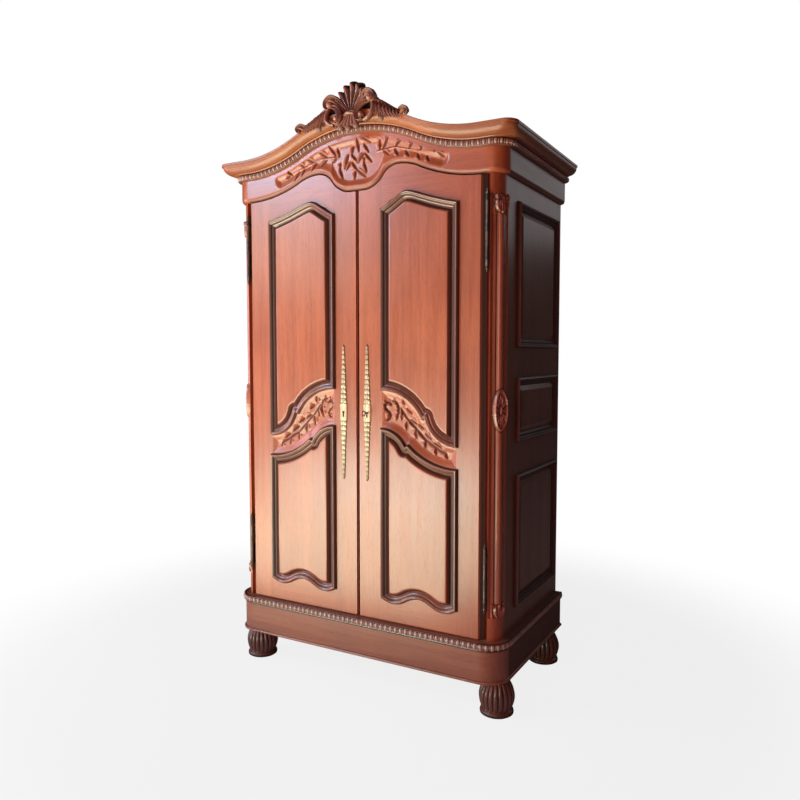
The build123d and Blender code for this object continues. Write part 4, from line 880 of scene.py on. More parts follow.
# Each knob: its middle, like a point of a path, then its size, as radius, half depth and painted shade
KNOB_RINGS, KNOB_STEPS = 9, 16
SIDE_KNOBS = (((0.088, -0.018, 0.029), 0.0135, 0.016, 0.1), ((0.054, -0.026, -0.027), 0.0115, 0.013, 0.0),
              ((0.136, -0.020, -0.052), 0.012, 0.006, 0.4))
# Trailing leaves: root, bend and tip, each as distance from the middle and height above the arch
TRAIL = (
    ((0.104, 0.016), (0.108, -0.002), (0.114, -0.032)),
    ((0.118, 0.011), (0.124, -0.007), (0.134, -0.050)),
    ((0.132, 0.003), (0.139, -0.014), (0.150, -0.042)),
    ((0.146, -0.005), (0.154, -0.020), (0.166, -0.048)),
    ((0.160, -0.014), (0.168, -0.028), (0.180, -0.052)),
    ((0.174, -0.022), (0.182, -0.034), (0.194, -0.054)),
    ((0.188, -0.029), (0.196, -0.040), (0.206, -0.056)))
ROOT_DROPS = (0.010, 0.002)         # a leaf rises to its root from these depths under it
TRAIL_DEPTHS = (0.030, 0.010, -0.014, -0.022)       # behind the front of the crest, from root to tip
TRAIL_WIDTHS, TRAIL_RISES = (0.016, 0.020, 0.020, 0.010), (0.008, 0.012, 0.013, 0.006)
# Skirt and collar under the shell: aside, proud and above the foot of the shell
SKIRT = ((0.019, 0.016, -0.004), (0.024, 0.021, -0.024), (0.036, 0.026, -0.046))
SKIRT_WIDTHS, SKIRT_RISES = (0.010, 0.014, 0.020), (0.006, 0.008, 0.010)
SKIRT_KNOBS = ((-0.034, 0.026, -0.047), (0.0, 0.026, -0.053), (0.034, 0.026, -0.047))
SKIRT_KNOB_SIZE = (0.013, 0.010, 0.4)
COLLAR = ((-0.025, 0.014, -0.002), (0.0, 0.024, 0.002), (0.025, 0.014, -0.002))
COLLAR_WIDTHS, COLLAR_RISES = (0.012, 0.014, 0.012), (0.008, 0.010, 0.008)
# Core behind the blades, a dark sheet of painted shade: its outline from the middle and above the arch, its
# depths and its shade
CORE = ((0.0, 0.089), (0.045, 0.062), (0.070, 0.048), (0.090, 0.046), (0.102, 0.032), (0.118, 0.012),
        (0.146, -0.004), (0.175, -0.022), (0.200, -0.036), (0.216, -0.050), (0.150, -0.040), (0.090, -0.044),
        (0.0, -0.040))
CORE_DEPTHS, CORE_SHADE = (0.010, 0.040), 0.95


def smooth_path(points, count):
    """A smooth run of points through the given ones"""
    points = np.array(points, dtype=float)
    ends = np.vstack((2 * points[0] - points[1], points, 2 * points[-1] - points[-2]))
    path = []
    for place in np.linspace(0, len(points) - 1 - 1e-6, count):
        a, b, c, d = ends[int(place):int(place) + 4]
        t = place - int(place)
        path.append(0.5 * (2 * b + (c - a) * t + (2 * a - 5 * b + 4 * c - d) * t ** 2
                           + (3 * b - a - 3 * c + d) * t ** 3))
    return np.array(path)


def blade(stops, widths, rises, section, count=18):
    """A carved blade along a path: widths and rises at even steps, section of (across, out, painted shade)
    """
    path = smooth_path(stops, count)
    shares = np.linspace(0, 1, count)
    half = np.interp(shares, np.linspace(0, 1, len(widths)), widths) / 2
    rise = np.interp(shares, np.linspace(0, 1, len(rises)), rises)
    ahead = np.gradient(path, axis=0)
    aside = np.cross(ahead, (0.0, -1.0, 0.0))
    aside /= np.linalg.norm(aside, axis=1)[:, None]
    out = np.cross(aside, ahead)
    out /= np.linalg.norm(out, axis=1)[:, None]
    out *= np.where(out[:, 1:2] > 0, -1.0, 1.0)
    points = []
    for middle, side, front, wide, high in zip(path, aside, out, half, rise):
        points += [middle + side * u * wide + front * h * high for u, h, _ in section]
    shade = [shade_share for _, _, shade_share in section] * count
    return points, tube_faces(count, len(section)), shade


def knob(middle, radius, depth, shade_share):
    """A flattened ball, facing the front"""
    points, shade = [], []
    for tilt in np.linspace(0, pi, KNOB_RINGS):
        for turn in np.linspace(0, 2 * pi, KNOB_STEPS + 1)[:-1]:
            points.append((middle[0] + radius * sin(tilt) * cos(turn), middle[1] - depth * cos(tilt),
                           middle[2] + radius * sin(tilt) * sin(turn)))
            shade.append(shade_share)
    return points, grid_faces(KNOB_RINGS, KNOB_STEPS, round_columns=True), shade


# lighter and pinker than the front wood: partly a painted highlight on the carving
crest_sheen_mahogany = mahogany("crest_sheen_mahogany", "z", (0.48, 0.195, 0.135), (0.28, 0.098, 0.067),
                          gloss=0.26, polish=0.7)
y_crest = y_crown + CREST_BACK
z_arch = z_top + ARCH_RISE
z_shell = z_arch - SHELL_SINK
spread = radians(SHELL_SPREAD)
turns = np.linspace(-spread, spread, SHELL_LOBES * 14 + 1)
shares = np.concatenate((np.linspace(0.06, 0.80, 16), np.linspace(0.83, 1.0, 14)))
turn, share = np.meshgrid(turns, shares)
lobe = np.abs(np.sin((turn / spread + 1) * pi * SHELL_LOBES / 2))
radius = SHELL_RADII[0] + (SHELL_RADII[1] - SHELL_RADII[0]) * (np.abs(turn) / spread) ** 1.5
reach = radius * share * (1 - 0.15 * (1 - lobe) * share)
rib = np.exp(-((1 - lobe) / 0.13) ** 2)
flutes = FLUTE_DEPTH * (0.45 * lobe + 0.55 * rib) * share ** 0.5
roll = SHELL_ROLL * np.exp(-((share - 0.86) / 0.10) ** 2) * lobe
out = SHELL_FACE + flutes + roll - SHELL_TURN * np.clip((share - 0.84) / 0.16, 0, 1) ** 2.5
# painted shade in the flutes between the ribs and on the edge that turns in
shade_share = np.clip(0.9 - 1.1 * rib - 0.3 * lobe, 0, 0.85) + 0.4 * np.clip((share - 0.84) / 0.12, 0, 1)


def on_shell(angle, reach, out):
    rise = reach * np.cos(angle)
    lean = SHELL_LEAN * (rise / SHELL_RADII[0]) ** 2
    return np.stack((CREST_X + reach * np.sin(angle), y_crest - out + lean, z_shell + rise), axis=-1)


def under_shell(stops, lean=1.0):
    return [(CREST_X + lean * x, y_crest - proud, z_shell + rise) for x, proud, rise in stops]


relief("crest_fan", turn, reach, out, np.clip(shade_share, 0, 1), on_shell, SHELL_BACK, crest_sheen_mahogany, "carcass",
       "carved_mahogany", ["crest_shell"])
outline = list(CORE) + [(-x, z) for x, z in CORE[-2:0:-1]]
core = [(CREST_X + x, y_crest + back, z_arch + z) for back in CORE_DEPTHS for x, z in outline]
parts = [(core, tube_faces(2, len(outline)), [CORE_SHADE] * len(core))]
for lean in (-1, -0.5, 0, 0.5, 1):
    parts.append(blade(under_shell(SKIRT, lean), SKIRT_WIDTHS, SKIRT_RISES, REED))
parts += [knob(middle, *SKIRT_KNOB_SIZE) for middle in under_shell(SKIRT_KNOBS)]
parts.append(blade(under_shell(COLLAR), COLLAR_WIDTHS, COLLAR_RISES, REED))
for side in (-1, 1):
    def carved_path(stops):
        return [(CREST_X + side * x, y_crest + back, z_arch + z) for x, back, z in stops]

    parts += [blade(carved_path(path), *cut) for path, *cut in SIDE_BLADES]
    parts += [knob(*carved_path([middle]), *size) for middle, *size in SIDE_KNOBS]
    for root, bend, tip in TRAIL:
        run = [(root[0], root[1] - drop) for drop in ROOT_DROPS] + [bend, tip]
        stops = [(x, back, z) for (x, z), back in zip(run, TRAIL_DEPTHS)]
        parts.append(blade(carved_path(stops), TRAIL_WIDTHS, TRAIL_RISES, GUTTER, 22))
carved_group("crest_scrolls", parts, crest_sheen_mahogany, "carcass", "carved_mahogany", ["crest_leaves"])

# Doors: each is a frame of two stiles and three rails, mortised together, with a raised panel above and
# below a carved middle rail. Shaped mouldings are planted round both openings, mitred at the corners.
LOCK_STILE, HINGE_STILE = 0.108, 0.108
# Top of the upper panel: share of the way from the lock to the hinges, and drop below the frieze
UPPER_TOP = ((0.0, 0.089), (0.08, 0.076), (0.17, 0.059), (0.26, 0.041), (0.305, 0.0355), (0.34, 0.034),
             (0.39, 0.036), (0.45, 0.041), (0.55, 0.052), (0.68, 0.066), (0.81, 0.078), (0.92, 0.087),
             (1.0, 0.093))
UPPER_BOTTOM = (0.899, 0.796, 0.700)        # lock corner, cusp and hinge corner above the base
LOWER_TOP = (0.742, 0.682, 0.608)
LOWER_BOTTOM = (0.098, 0.082, 0.116)        # corners, dips and middle peak above the base
UPPER_CUSP, LOWER_CUSP, DIP_SHARE = 0.585, 0.345, 0.155
NOTCH = (0.014, 0.006)                      # small step at each cusp: across and up
CURVE_STEPS = 150
# Raised panel: inwards from the opening, height over its tongue and painted shade
PANEL_RINGS = ((0.018, 0.0, 1.0), (0.0255, 0.0, 1.0), (0.0270, 0.0015, 0.9), (0.0325, 0.0125, 0.5),
               (0.0345, 0.0152, 0.15), (0.0375, 0.0163, 0.0), (0.0400, 0.0163, 0.0))
PANEL_CREASE = 25                           # edges steeper than this stay sharp, in degrees
TONGUE, TONGUE_BACK = 0.005, 0.005          # into the groove, and behind the face of the door
STILE_BEVELS = {"right": (0.020, 0.014, 0.9), "left": (0.009, 0.007, 0.2)}      # width, depth and painted shade
RAIL_SINK, RAIL_SLOPE, RAIL_END = 0.010, 0.030, 0.004
RAIL_STROKE = STROKE_WIDTH * 1.15
# Leaves on a middle rail in mm from the middle of the doors and above the base: scroll, stem and leaves
RAIL_LEAVES = (
    (145, 836, 139, 845), (139, 845, 129, 847), (129, 847, 121, 839), (121, 839, 120, 827),
    (120, 827, 128, 817), (128, 817, 138, 808), (138, 808, 142, 796), (142, 796, 137, 784),
    (137, 784, 126, 779), (150, 853, 163, 850), (163, 850, 172, 840), (172, 840, 177, 826),
    (177, 826, 175, 806), (175, 806, 167, 782), (197, 858, 201, 840), (184, 828, 210, 792),
    (210, 792, 248, 756), (248, 756, 294, 710), (294, 710, 343, 680), (343, 680, 376, 664),
    (212, 825, 232, 809), (228, 785, 252, 771), (262, 769, 284, 753), (290, 735, 314, 717),
    (330, 703, 356, 687), (193, 811, 189, 783), (212, 779, 210, 747), (250, 748, 252, 719),
    (292, 708, 290, 684), (333, 683, 335, 661), (374, 665, 380, 650))


def bowed(x, start, end):
    """Height at x on an arc that leaves start level and passes through end"""
    run, rise = end[0] - start[0], end[1] - start[1]
    radius = (run * run + rise * rise) / (2 * abs(rise))
    return start[1] + np.sign(rise) * (radius - np.sqrt(np.clip(radius ** 2 - (x - start[0]) ** 2, 0, None)))


def swept(x, levels, share):
    """Edge of a middle rail: level at both ends, a round arc and a hollow arc with a small step between"""
    cusp = x_open + (x_close - x_open) * share
    near = (cusp - NOTCH[0] / 2, z_deck + levels[1] - NOTCH[1] / 2)
    far = (cusp + NOTCH[0] / 2, z_deck + levels[1] + NOTCH[1] / 2)
    round_arc = bowed(x, (x_open, z_deck + levels[0]), near)
    hollow_arc = bowed(x, (x_close, z_deck + levels[2]), far)
    step = np.interp(x, (near[0], far[0]), (near[1], far[1]))
    return np.select((x < near[0], x > far[0]), (round_arc, hollow_arc), step)


def upper_sill(x):
    return swept(x, UPPER_BOTTOM, UPPER_CUSP)


def lower_head(x):
    return swept(x, LOWER_TOP, LOWER_CUSP)


def upper_head(x):
    """Top of the upper panel: a slow rise from the hinges and a quick fall to the lock"""
    shares, drops = smooth_path(UPPER_TOP, 200).T
    return z_frieze - np.interp((x - x_open) / (x_close - x_open), shares, drops)


def lower_sill(x):
    """Foot of the lower panel: a peak in the middle and a dip beside each corner"""
    share = np.abs((x - x_open) / (x_close - x_open) - 0.5)
    corner, dip, peak = (z_deck + rise for rise in LOWER_BOTTOM)
    wave = ogee(share, (0.0, peak), (0.5 - DIP_SHARE, dip), 0.5)
    turned_up = dip + (corner - dip) * ((share + DIP_SHARE - 0.5) / DIP_SHARE) ** 2
    return np.where(share < 0.5 - DIP_SHARE, wave, turned_up)


door_low, door_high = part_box("right_lock_stile")
x_lock, x_hinge = door_low.x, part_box("right_hinge_stile")[1].x
y_door, y_door_back = door_low.y, door_high.y
y_tongue, y_panel_back = y_door + TONGUE_BACK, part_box("right_panels")[1].y
x_open, x_close = x_lock + LOCK_STILE, x_hinge - HINGE_STILE
openings = [(upper_sill, upper_head, x_open, x_close), (lower_sill, lower_head, x_open, x_close)]
panel_mahogany = mahogany("panel_mahogany", "z", PALE, DEEP)
stile_mahogany = mahogany("stile_mahogany", "z", PALE, DEEP)
# painted shade along the gap between the doors, where the lock stiles meet
lock_stile_mahogany = mahogany("lock_stile_mahogany", "z", PALE, DEEP, seam=0.0045)
rail_mahogany = mahogany("rail_mahogany", "x", PALE, DEEP)


def carved_middle():
    """Grid, heights and painted shade of the carved middle rail of the right door"""
    across, share = np.meshgrid(np.linspace(x_open, x_close, 270), np.linspace(0, 1, 110))
    low, high = lower_head(across[0]), upper_sill(across[0])
    up = low + (high - low) * share
    edges = [(x, z) for edge in (low, high) for x, z in zip(across[0, ::2], edge[::2])]
    room = np.min([np.hypot(across - x, up - z) for x, z in edges], axis=0) - MOULD_LAP
    end_room = np.minimum(across - x_open, x_close - across) + RAIL_END
    sunk = np.clip(np.minimum(room, end_room) / RAIL_SLOPE, 0, 1)
    ground = -RAIL_SINK * sunk ** 2 * (3 - 2 * sunk)
    strokes = [(x0 / 1000, z_deck + z0 / 1000, x1 / 1000, z_deck + z1 / 1000)
               for x0, z0, x1, z1 in RAIL_LEAVES]
    carved, hollow = carve_strokes(across, up, strokes, RAIL_STROKE, STROKE_RIDGE, STROKE_DEPTH)
    return across, up, ground + carved * np.clip(sunk * 3, 0, 1), hollow * (sunk > 0.05)


def bevelled_stile(wide, deep, shade_share):
    """Grid, heights and painted shade of a hinge stile, as on the right door, with a bevel along the hinges
    """
    low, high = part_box("right_hinge_stile")
    flat, slope = np.linspace(low.x, high.x - wide, 12), np.linspace(high.x - wide, high.x, 9)
    stops = np.concatenate((flat, slope[1:]))
    play = z_frieze + frieze_edge(low.x) - high.z
    across, share = np.meshgrid(stops, np.linspace(0, 1, 12))
    up = low.z + (z_frieze + frieze_edge(across) - play - low.z) * share
    # worn is the share of the way across the bevel; the darkening on it is painted shade in the hinge gap
    worn = np.clip((across - high.x) / wide + 1, 0, 1)
    return across, up, -deep * worn ** 0.8, shade_share * np.clip(3 * worn, 0, 1)


middle_rail = carved_middle()
for side, label in SIDES:
    def on_door(outline, out):
        y = np.full(len(outline), y_door - out)
        return np.stack((side * outline[:, 0], y, outline[:, 1]), axis=-1)

    def on_rail(x, z, out):
        return np.stack((side * x, y_door - out, z), axis=-1)

    body = f"{label}_door"
    dress(lock_stile_mahogany, f"{label}_lock_stile")
    dress(rail_mahogany, f"{label}_top_rail", f"{label}_bottom_rail")
    relief(f"{label}_carved_rail", *middle_rail, on_rail, y_door - y_door_back, rail_mahogany, body,
           "mahogany", [f"{label}_mid_rail"])
    rings = [planted_moulding(opening, MOULDING, on_door, CURVE_STEPS) for opening in openings]
    carved_group(f"{label}_panel_mouldings", rings, moulding_mahogany, body, "mahogany",
                 [f"{label}_mouldings"], MOULD_CREASE)
    boards = []
    for opening in openings:
        edge = opening_ring(*opening, -TONGUE, CURVE_STEPS)
        steps = [on_door(edge, y_door - y_panel_back), on_door(edge, y_door - y_tongue)]
        steps += [on_door(opening_ring(*opening, inwards, CURVE_STEPS), y_door - y_tongue + rise)
                  for inwards, rise, _ in PANEL_RINGS]
        count = 2 * CURVE_STEPS
        points = np.concatenate(steps).tolist()
        faces = grid_faces(len(steps), count, round_columns=True)
        for first in (0, len(points) - count):
            faces += [(first + i, first + i + 1, first + count - 2 - i, first + count - 1 - i)
                      for i in range(CURVE_STEPS - 1)]
        # the front of the tongue is painted dark: shade in the groove
        shade = np.repeat([0.0, 1.0] + [shade_share for _, _, shade_share in PANEL_RINGS], count).tolist()
        boards.append((points, faces, shade))
    carved_group(f"{label}_raised_panels", boards, panel_mahogany, body, "panel_mahogany",
                 [f"{label}_panels"], PANEL_CREASE)
    relief(f"{label}_outer_stile", *bevelled_stile(*STILE_BEVELS[label]), on_rail, y_door - y_door_back,
           stile_mahogany, body, "mahogany", [f"{label}_hinge_stile"])

# Escutcheons: long cast brass plates, built up of beaded lobes and pinned to the lock stiles. Each has a
# keyhole; the left one is a match for the right one, which covers the lock.
PLATE_OUTLINE = ((0.0, 0.017), (0.10, 0.0175), (0.17, 0.015), (0.30, 0.0135), (0.55, 0.0105), (0.80, 0.0075),
                 (0.97, 0.0055), (1.0, 0.0012))     # share of the way to an end, and half width
PLATE_LOBES = 12
PLATE_PLAIN = 0.13                  # share of the length, round the keyhole, that has no lobes
PLATE_EDGE, PLATE_DOME, LOBE_RISE, SPINE_RISE = 0.0008, 0.0022, 0.0020, 0.0015
KEYHOLE_RADIUS = 0.0042
KEYHOLE_SLOT = (0.0026, 0.017)      # half width and drop
KEYHOLE_FLOOR, KEYHOLE_SHADE = 0.0004, 1.4


def cast_metal(name, colour, worn, gloss, bare=1.0):
    """Cast metal with tarnish in its hollows and fine scratches; bare is how little patina covers it"""
    finish, shader, start = finish_start(name)
    place = start.node("ShaderNodeTexCoord", {}, {}, "Object")

    def noise(scale, detail):
        return start.node("ShaderNodeTexNoise", {}, {"Vector": place, "Scale": scale, "Detail": detail})

    patches = noise(60.0, 4.0).span(0.35, 0.68)
    grain = noise(900.0, 2.0)
    hollow = start.node("ShaderNodeAttribute", {"attribute_name": "hollow"}, {}, "Fac")
    metal = (patches * 0.6).blend(paint(colour), paint(worn))
    tarnished = hollow.blend(metal, paint(worn, 0.08))
    link = start.tree.links.new
    link(tarnished.socket, shader.inputs["Base Color"])
    link((patches * 0.12 + hollow * 0.3 + gloss).socket, shader.inputs["Roughness"])
    link((bare - hollow * 0.8 * bare).socket, shader.inputs["Metallic"])
    dents = start.node("ShaderNodeBump", {}, {"Height": grain, "Strength": 0.08, "Distance": 0.0003})
    link(dents.socket, shader.inputs["Normal"])
    return finish


brass = cast_metal("brass", (0.56, 0.45, 0.29), (0.32, 0.24, 0.14), 0.34)
for label in ("right", "left"):
    low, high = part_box(f"{label}_escutcheon")
    middle = (low + high) / 2
    half_length = (high.z - low.z) / 2
    up = np.linspace(-half_length, half_length, 300)[:, None]
    over = np.linspace(-1, 1, 23)[None, :]
    share = np.abs(up) / half_length
    lobed = share > PLATE_PLAIN
    phase = np.abs(np.sin(pi * PLATE_LOBES * (share - PLATE_PLAIN) / (1 - PLATE_PLAIN)))
    lobes = np.where(share < PLATE_PLAIN, 1.0, phase)
    wide = np.interp(share, *zip(*PLATE_OUTLINE)) * (0.62 + 0.38 * lobes ** 0.6)
    dome = np.sqrt(np.clip(1 - over ** 2, 0, 1))
    height = PLATE_EDGE + PLATE_DOME * dome
    height = height + LOBE_RISE * lobes * np.exp(-((np.abs(over) - 0.60) / 0.28) ** 2)
    height = height + SPINE_RISE * np.exp(-(over / 0.22) ** 2) * lobed
    across = wide * over
    hollow = 0.45 * np.exp(-((np.abs(over) - 0.30) / 0.10) ** 2) * lobed + 0.75 * (1 - lobes) ** 2
    slot = (np.abs(across) < KEYHOLE_SLOT[0]) & (up < 0) & (up > -KEYHOLE_SLOT[1])
    keyhole = (np.hypot(across, up) < KEYHOLE_RADIUS) | slot
    height = np.where(keyhole, KEYHOLE_FLOOR, height)
    hollow = np.where(keyhole, KEYHOLE_SHADE, hollow)

    def on_stile(a, z, out):
        return np.stack((middle.x + a, high.y - out, middle.z + z), axis=-1)

    relief(f"{label}_plate", across, np.tile(up, (1, over.size)), height, hollow, on_stile, 0.0, brass,
           f"{label}_door", "brass", [f"{label}_escutcheon"])

# Hinges: long dark bronze fische hinges, each a turned barrel in two halves with a finial at the free end.
# The lower half and its pin are let into the post, the upper half into the door, so the door lifts off.
# Half of a barrel: radius and distance from its free end, then radius and distance from the joint
FINIAL_PROFILE = ((0.0, 0.0), (0.0024, 0.0008), (0.0037, 0.0038), (0.0026, 0.0070), (0.0046, 0.0092),
                  (0.0058, 0.0120), (0.0044, 0.0148), (0.0070, 0.0162), (0.0070, 0.0192), (0.0058, 0.0208),
                  (0.0066, 0.0225), (0.0066, 0.040), (0.0072, 0.0412), (0.0072, 0.0438), (0.0066, 0.045))
BARREL_END = ((0.0068, 0.010), (0.0073, 0.0085), (0.0073, 0.0006), (0.0, 0.0004))
LEAF_THICK, LEAF_REACH = 0.002, 0.030       # of the plates let into the wood, behind the axis
LEAF_GAPS = (0.028, 0.012)                  # from a plate to the barrel's free end and to the joint
POST_LEAF_START = 0.004                     # behind the axis
LOWER_HINGE, UPPER_HINGE = (0.103, 0.355), (0.340, 0.052)   # ends above the base, and below the frieze
POST_FACE, HINGE_PROUD = 0.039, 0.003       # from the body's side, and axis before the door
bronze = cast_metal("bronze", (0.110, 0.082, 0.066), (0.050, 0.035, 0.028), 0.34, 0.8)


def lathe(profile, place, steps=20):
    """Points and faces of a profile of (radius, along) turned about an axis"""
    points = []
    for radius, along in profile:
        points += [place(radius * cos(t), radius * sin(t), along) for t in np.arange(steps) * 2 * pi / steps]
    return points, grid_faces(len(profile), steps, round_columns=True)


def plate(x0, x1, y0, y1, z0, z1):
    """Points and faces of a thin metal leaf with a small chamfer on its outer edges"""
    chamfer = 0.0006
    rings = [[(x0 + a, y0 + a, z), (x1 - a, y0 + a, z), (x1 - a, y1 - a, z), (x0 + a, y1 - a, z)]
             for z, a in ((z0, chamfer), (z0 + chamfer, 0.0), (z1 - chamfer, 0.0), (z1, chamfer))]
    points = [point for ring in rings for point in ring]
    return points, grid_faces(4, 4, round_columns=True) + [(0, 1, 2, 3), (12, 13, 14, 15)]


hinge_spans = (LOWER_HINGE, tuple(door_bay - drop for drop in UPPER_HINGE))
post_edge = x_body - POST_FACE
hinge_x, hinge_y = (x_hinge + post_edge) / 2, y_door - HINGE_PROUD
y_leaf = hinge_y + LEAF_REACH
post_parts, door_parts = [], {1: [], -1: []}
for foot, head in hinge_spans:
    z0, z1 = z_deck + foot, z_deck + head
    joint = (z0 + z1) / 2
    barrel = list(FINIAL_PROFILE) + [(radius, joint - z0 - gap) for radius, gap in BARREL_END]
    for side in (1, -1):
        post_parts.append(lathe(barrel, lambda a, b, t: (side * (hinge_x + a), hinge_y + b, z0 + t)))
        door_parts[side].append(lathe(barrel, lambda a, b, t: (side * (hinge_x + a), hinge_y + b, z1 - t)))
        post_leaf = sorted((side * (post_edge - LEAF_THICK), side * post_edge))
        post_parts.append(plate(*post_leaf, hinge_y + POST_LEAF_START, y_leaf, z0 + LEAF_GAPS[0],
                                joint - LEAF_GAPS[1]))
        door_leaf = sorted((side * x_hinge, side * (x_hinge + LEAF_THICK)))
        door_parts[side].append(plate(*door_leaf, hinge_y, y_leaf, joint + LEAF_GAPS[1], z1 - LEAF_GAPS[0]))
piece("post_hinge_barrels", *joined(*post_parts), bronze, "carcass", "bronze", ["post_hinge_halves"])
for side, label in SIDES:
    piece(f"{label}_hinge_barrels", *joined(*door_parts[side]), bronze, f"{label}_door", "bronze",
          [f"{label}_hinge_halves"])

# Lock: a steel case let into the right lock stile, its bolt, and two sliding bolts inside the left door
# that hold it shut, in brass guides. The key has a ring bow, a turned shank and a flat bit.
BOW_RADIUS, BOW_WIRE, BOW_HALF = 0.0102, 0.0027, 0.0020     # ring, its wire, and half its thickness
BOW_PROUD = 0.028           # middle of the bow before the face of the door
BOW_STEPS, WIRE_STEPS = 28, 10
SHANK = ((0.0, 0.0), (0.0030, 0.0), (0.0034, 0.0015), (0.0030, 0.003), (0.0046, 0.0042), (0.0046, 0.006),
         (0.0030, 0.0072), (0.0033, 0.0095))        # radius and distance from the bow
SHANK_END = ((0.0033, 0.001), (0.0024, 0.0), (0.0, 0.0))    # radius and distance from the tip
BIT_HALF, BIT_SPAN = 0.0019, (0.0034, 0.0006)       # half thickness, and both edges from the tip
BIT_FOOT, BIT_ROOT = 0.0005, 0.002                  # inside the key's lower end, and below its axis
steel = cast_metal("steel", (0.42, 0.41, 0.40), (0.26, 0.24, 0.22), 0.32)
key_steel = cast_metal("key_steel", (0.50, 0.42, 0.30), (0.30, 0.23, 0.15), 0.28)
dress(steel, "lock_case", "lock_bolt", "left_top_bolt", "left_bottom_bolt")
dress(brass, "left_bolt_guides", "hanging_rail")
key_low, key_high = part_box("key")
plate_low, plate_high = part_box("right_escutcheon")
key_x, key_z = (plate_low.x + plate_high.x) / 2, (plate_low.z + plate_high.z) / 2
bow_y, tip_y = y_door - BOW_PROUD, key_high.y
ring = []
for t in np.arange(BOW_STEPS) * 2 * pi / BOW_STEPS:
    for u in np.arange(WIRE_STEPS) * 2 * pi / WIRE_STEPS:
        reach = BOW_RADIUS + BOW_WIRE * cos(u)
        ring.append((key_x + BOW_HALF * sin(u), bow_y + reach * cos(t), key_z + reach * sin(t)))
bow = (ring, grid_faces(BOW_STEPS, WIRE_STEPS, round_columns=True, round_rows=True))
shank_long = tip_y - bow_y - BOW_RADIUS
shank_profile = list(SHANK) + [(radius, shank_long - gap) for radius, gap in SHANK_END]
shank = lathe(shank_profile, lambda a, b, t: (key_x + a, bow_y + BOW_RADIUS + t, key_z + b), 16)
bit = plate(key_x - BIT_HALF, key_x + BIT_HALF, tip_y - BIT_SPAN[0], tip_y - BIT_SPAN[1],
            key_low.z + BIT_FOOT, key_z - BIT_ROOT)
piece("key_with_ring_bow", *joined(bow, shank, bit), key_steel, "key", "steel", ["key"])

# Room for the picture: a wide pale floor that runs out of sight, soft window light from the front left,
# light thrown up by a bright floor, and weak fills. The camera stands where the photo was taken.
CAMERA_AT = (1.5363, -2.7016, 1.3226)
CAMERA_TURN, CAMERA_PITCH, CAMERA_LENS = 29.392, -3.696, 33.152
FLOOR_HALF = 14.0
FLOOR_FADE = (1.3, 2.4)     # the floor pales out between these distances
FLOOR_GLOW, FAR_GLOW = 0.84, 0.16
SKY_SEEN, SKY_LIGHT = 0.97, 0.03
# Each light: its name, its place, what it faces, its size, power and colour
LIGHTS = (("window", (-3.0, -3.5, 3.3), (-0.3, -0.3, 1.9), (1.5, 0.8), 92.0, (0.38, 0.70, 1.0)),
          ("window_sill", (-2.8, -3.3, 2.3), (-0.2, -0.3, 1.6), (1.5, 0.8), 15.0, (0.9, 1.0, 0.8)),
          ("floor_glow", (-1.3, -2.35, 0.03), (-1.3, -2.35, 1.0), (2.5, 2.5), 154.0, (0.93, 1.0, 0.70)),
          ("low_strip", (-1.95, -3.7, 0.2), (-1.95, 0.0, 0.2), (2.4, 0.4), 46.0, (0.66, 1.0, 0.92)),
          ("warm_side", (-3.4, -1.6, 1.4), (-0.2, -0.3, 1.2), (1.2, 1.6), 46.0, (1.0, 0.74, 0.96)),
          ("warm_front", (0.9, -4.2, 1.6), (0.3, -0.3, 1.3), (1.6, 1.6), 52.0, (1.0, 0.40, 0.34)),
          ("rear_wall", (2.2, 3.6, 3.2), (0.5, 0.2, 1.8), (2.6, 1.8), 7.4, (1.0, 0.96, 0.98)))

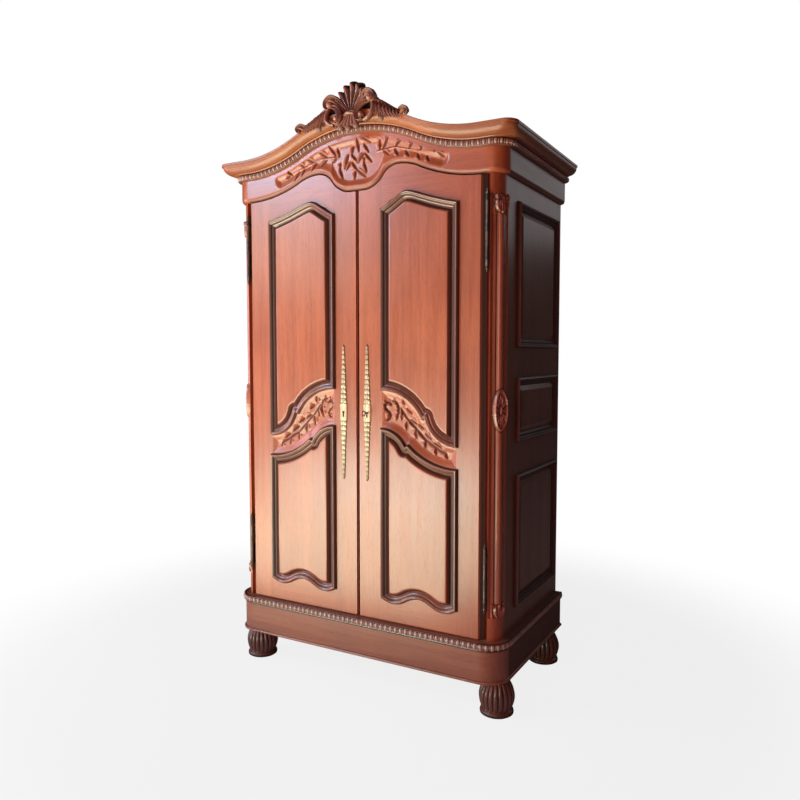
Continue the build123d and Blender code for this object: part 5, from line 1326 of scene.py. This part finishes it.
floor_mesh = bpy.data.meshes.new("floor")
floor_corners = [(x * FLOOR_HALF, y * FLOOR_HALF, 0.0) for x, y in ((-1, -1), (1, -1), (1, 1), (-1, 1))]
floor_mesh.from_pydata(floor_corners, [], [(0, 1, 2, 3)])
floor = bpy.data.objects.new("floor", floor_mesh)
bpy.context.scene.collection.objects.link(floor)
floor_finish, floor_shader, start = finish_start("floor")
floor_shader.inputs["Base Color"].default_value = (0.62, 0.62, 0.62, 1.0)
floor_shader.inputs["Roughness"].default_value = 0.9
place = start.node("ShaderNodeTexCoord", {}, {}, "Object")
far = start.node("ShaderNodeVectorMath", {"operation": "LENGTH"}, {0: place}, "Value").span(*FLOOR_FADE)
seen = start.node("ShaderNodeLightPath", {}, {}, "Is Camera Ray")
glow = start.node("ShaderNodeEmission", {}, {"Color": (1.0, 1.0, 1.0, 1.0), "Strength": 1.0})
paler = start.node("ShaderNodeMixShader", {}, {0: (far * FAR_GLOW + FLOOR_GLOW) * seen, 2: glow})
start.tree.links.new(floor_shader.outputs["BSDF"], paler.socket.node.inputs[1])
start.tree.links.new(paler.socket, start.tree.nodes["Material Output"].inputs["Surface"])
floor_mesh.materials.append(floor_finish)
for name, place, target, (wide, high), power, colour in LIGHTS:
    lamp = bpy.data.lights.new(name, "AREA")
    lamp.shape, lamp.size, lamp.size_y = "RECTANGLE", wide, high
    lamp.energy, lamp.color = power, colour
    stand = bpy.data.objects.new(name, lamp)
    stand.location = place
    aim = [b - a for a, b in zip(place, target)]
    stand.rotation_euler = Vector(aim).to_track_quat("-Z", "Y").to_euler()
    stand.visible_camera = False
    bpy.context.scene.collection.objects.link(stand)
world = bpy.data.worlds.new("studio")
bpy.context.scene.world = world
world.use_nodes = True
air = Tone(world.node_tree)
sky = world.node_tree.nodes["Background"]
seen = air.node("ShaderNodeLightPath", {}, {}, "Is Camera Ray")
world.node_tree.links.new((seen * SKY_SEEN + SKY_LIGHT).socket, sky.inputs["Strength"])
sky.inputs["Color"].default_value = (1.0, 1.0, 1.0, 1.0)
lens = bpy.data.cameras.new("camera")
lens.sensor_width, lens.lens = 36.0, CAMERA_LENS
camera = bpy.data.objects.new("camera", lens)
camera.location = CAMERA_AT
camera.rotation_euler = (radians(90 + CAMERA_PITCH), 0.0, radians(CAMERA_TURN))
bpy.context.scene.collection.objects.link(camera)
bpy.context.scene.camera = camera
bpy.context.scene.view_settings.view_transform = "Standard"
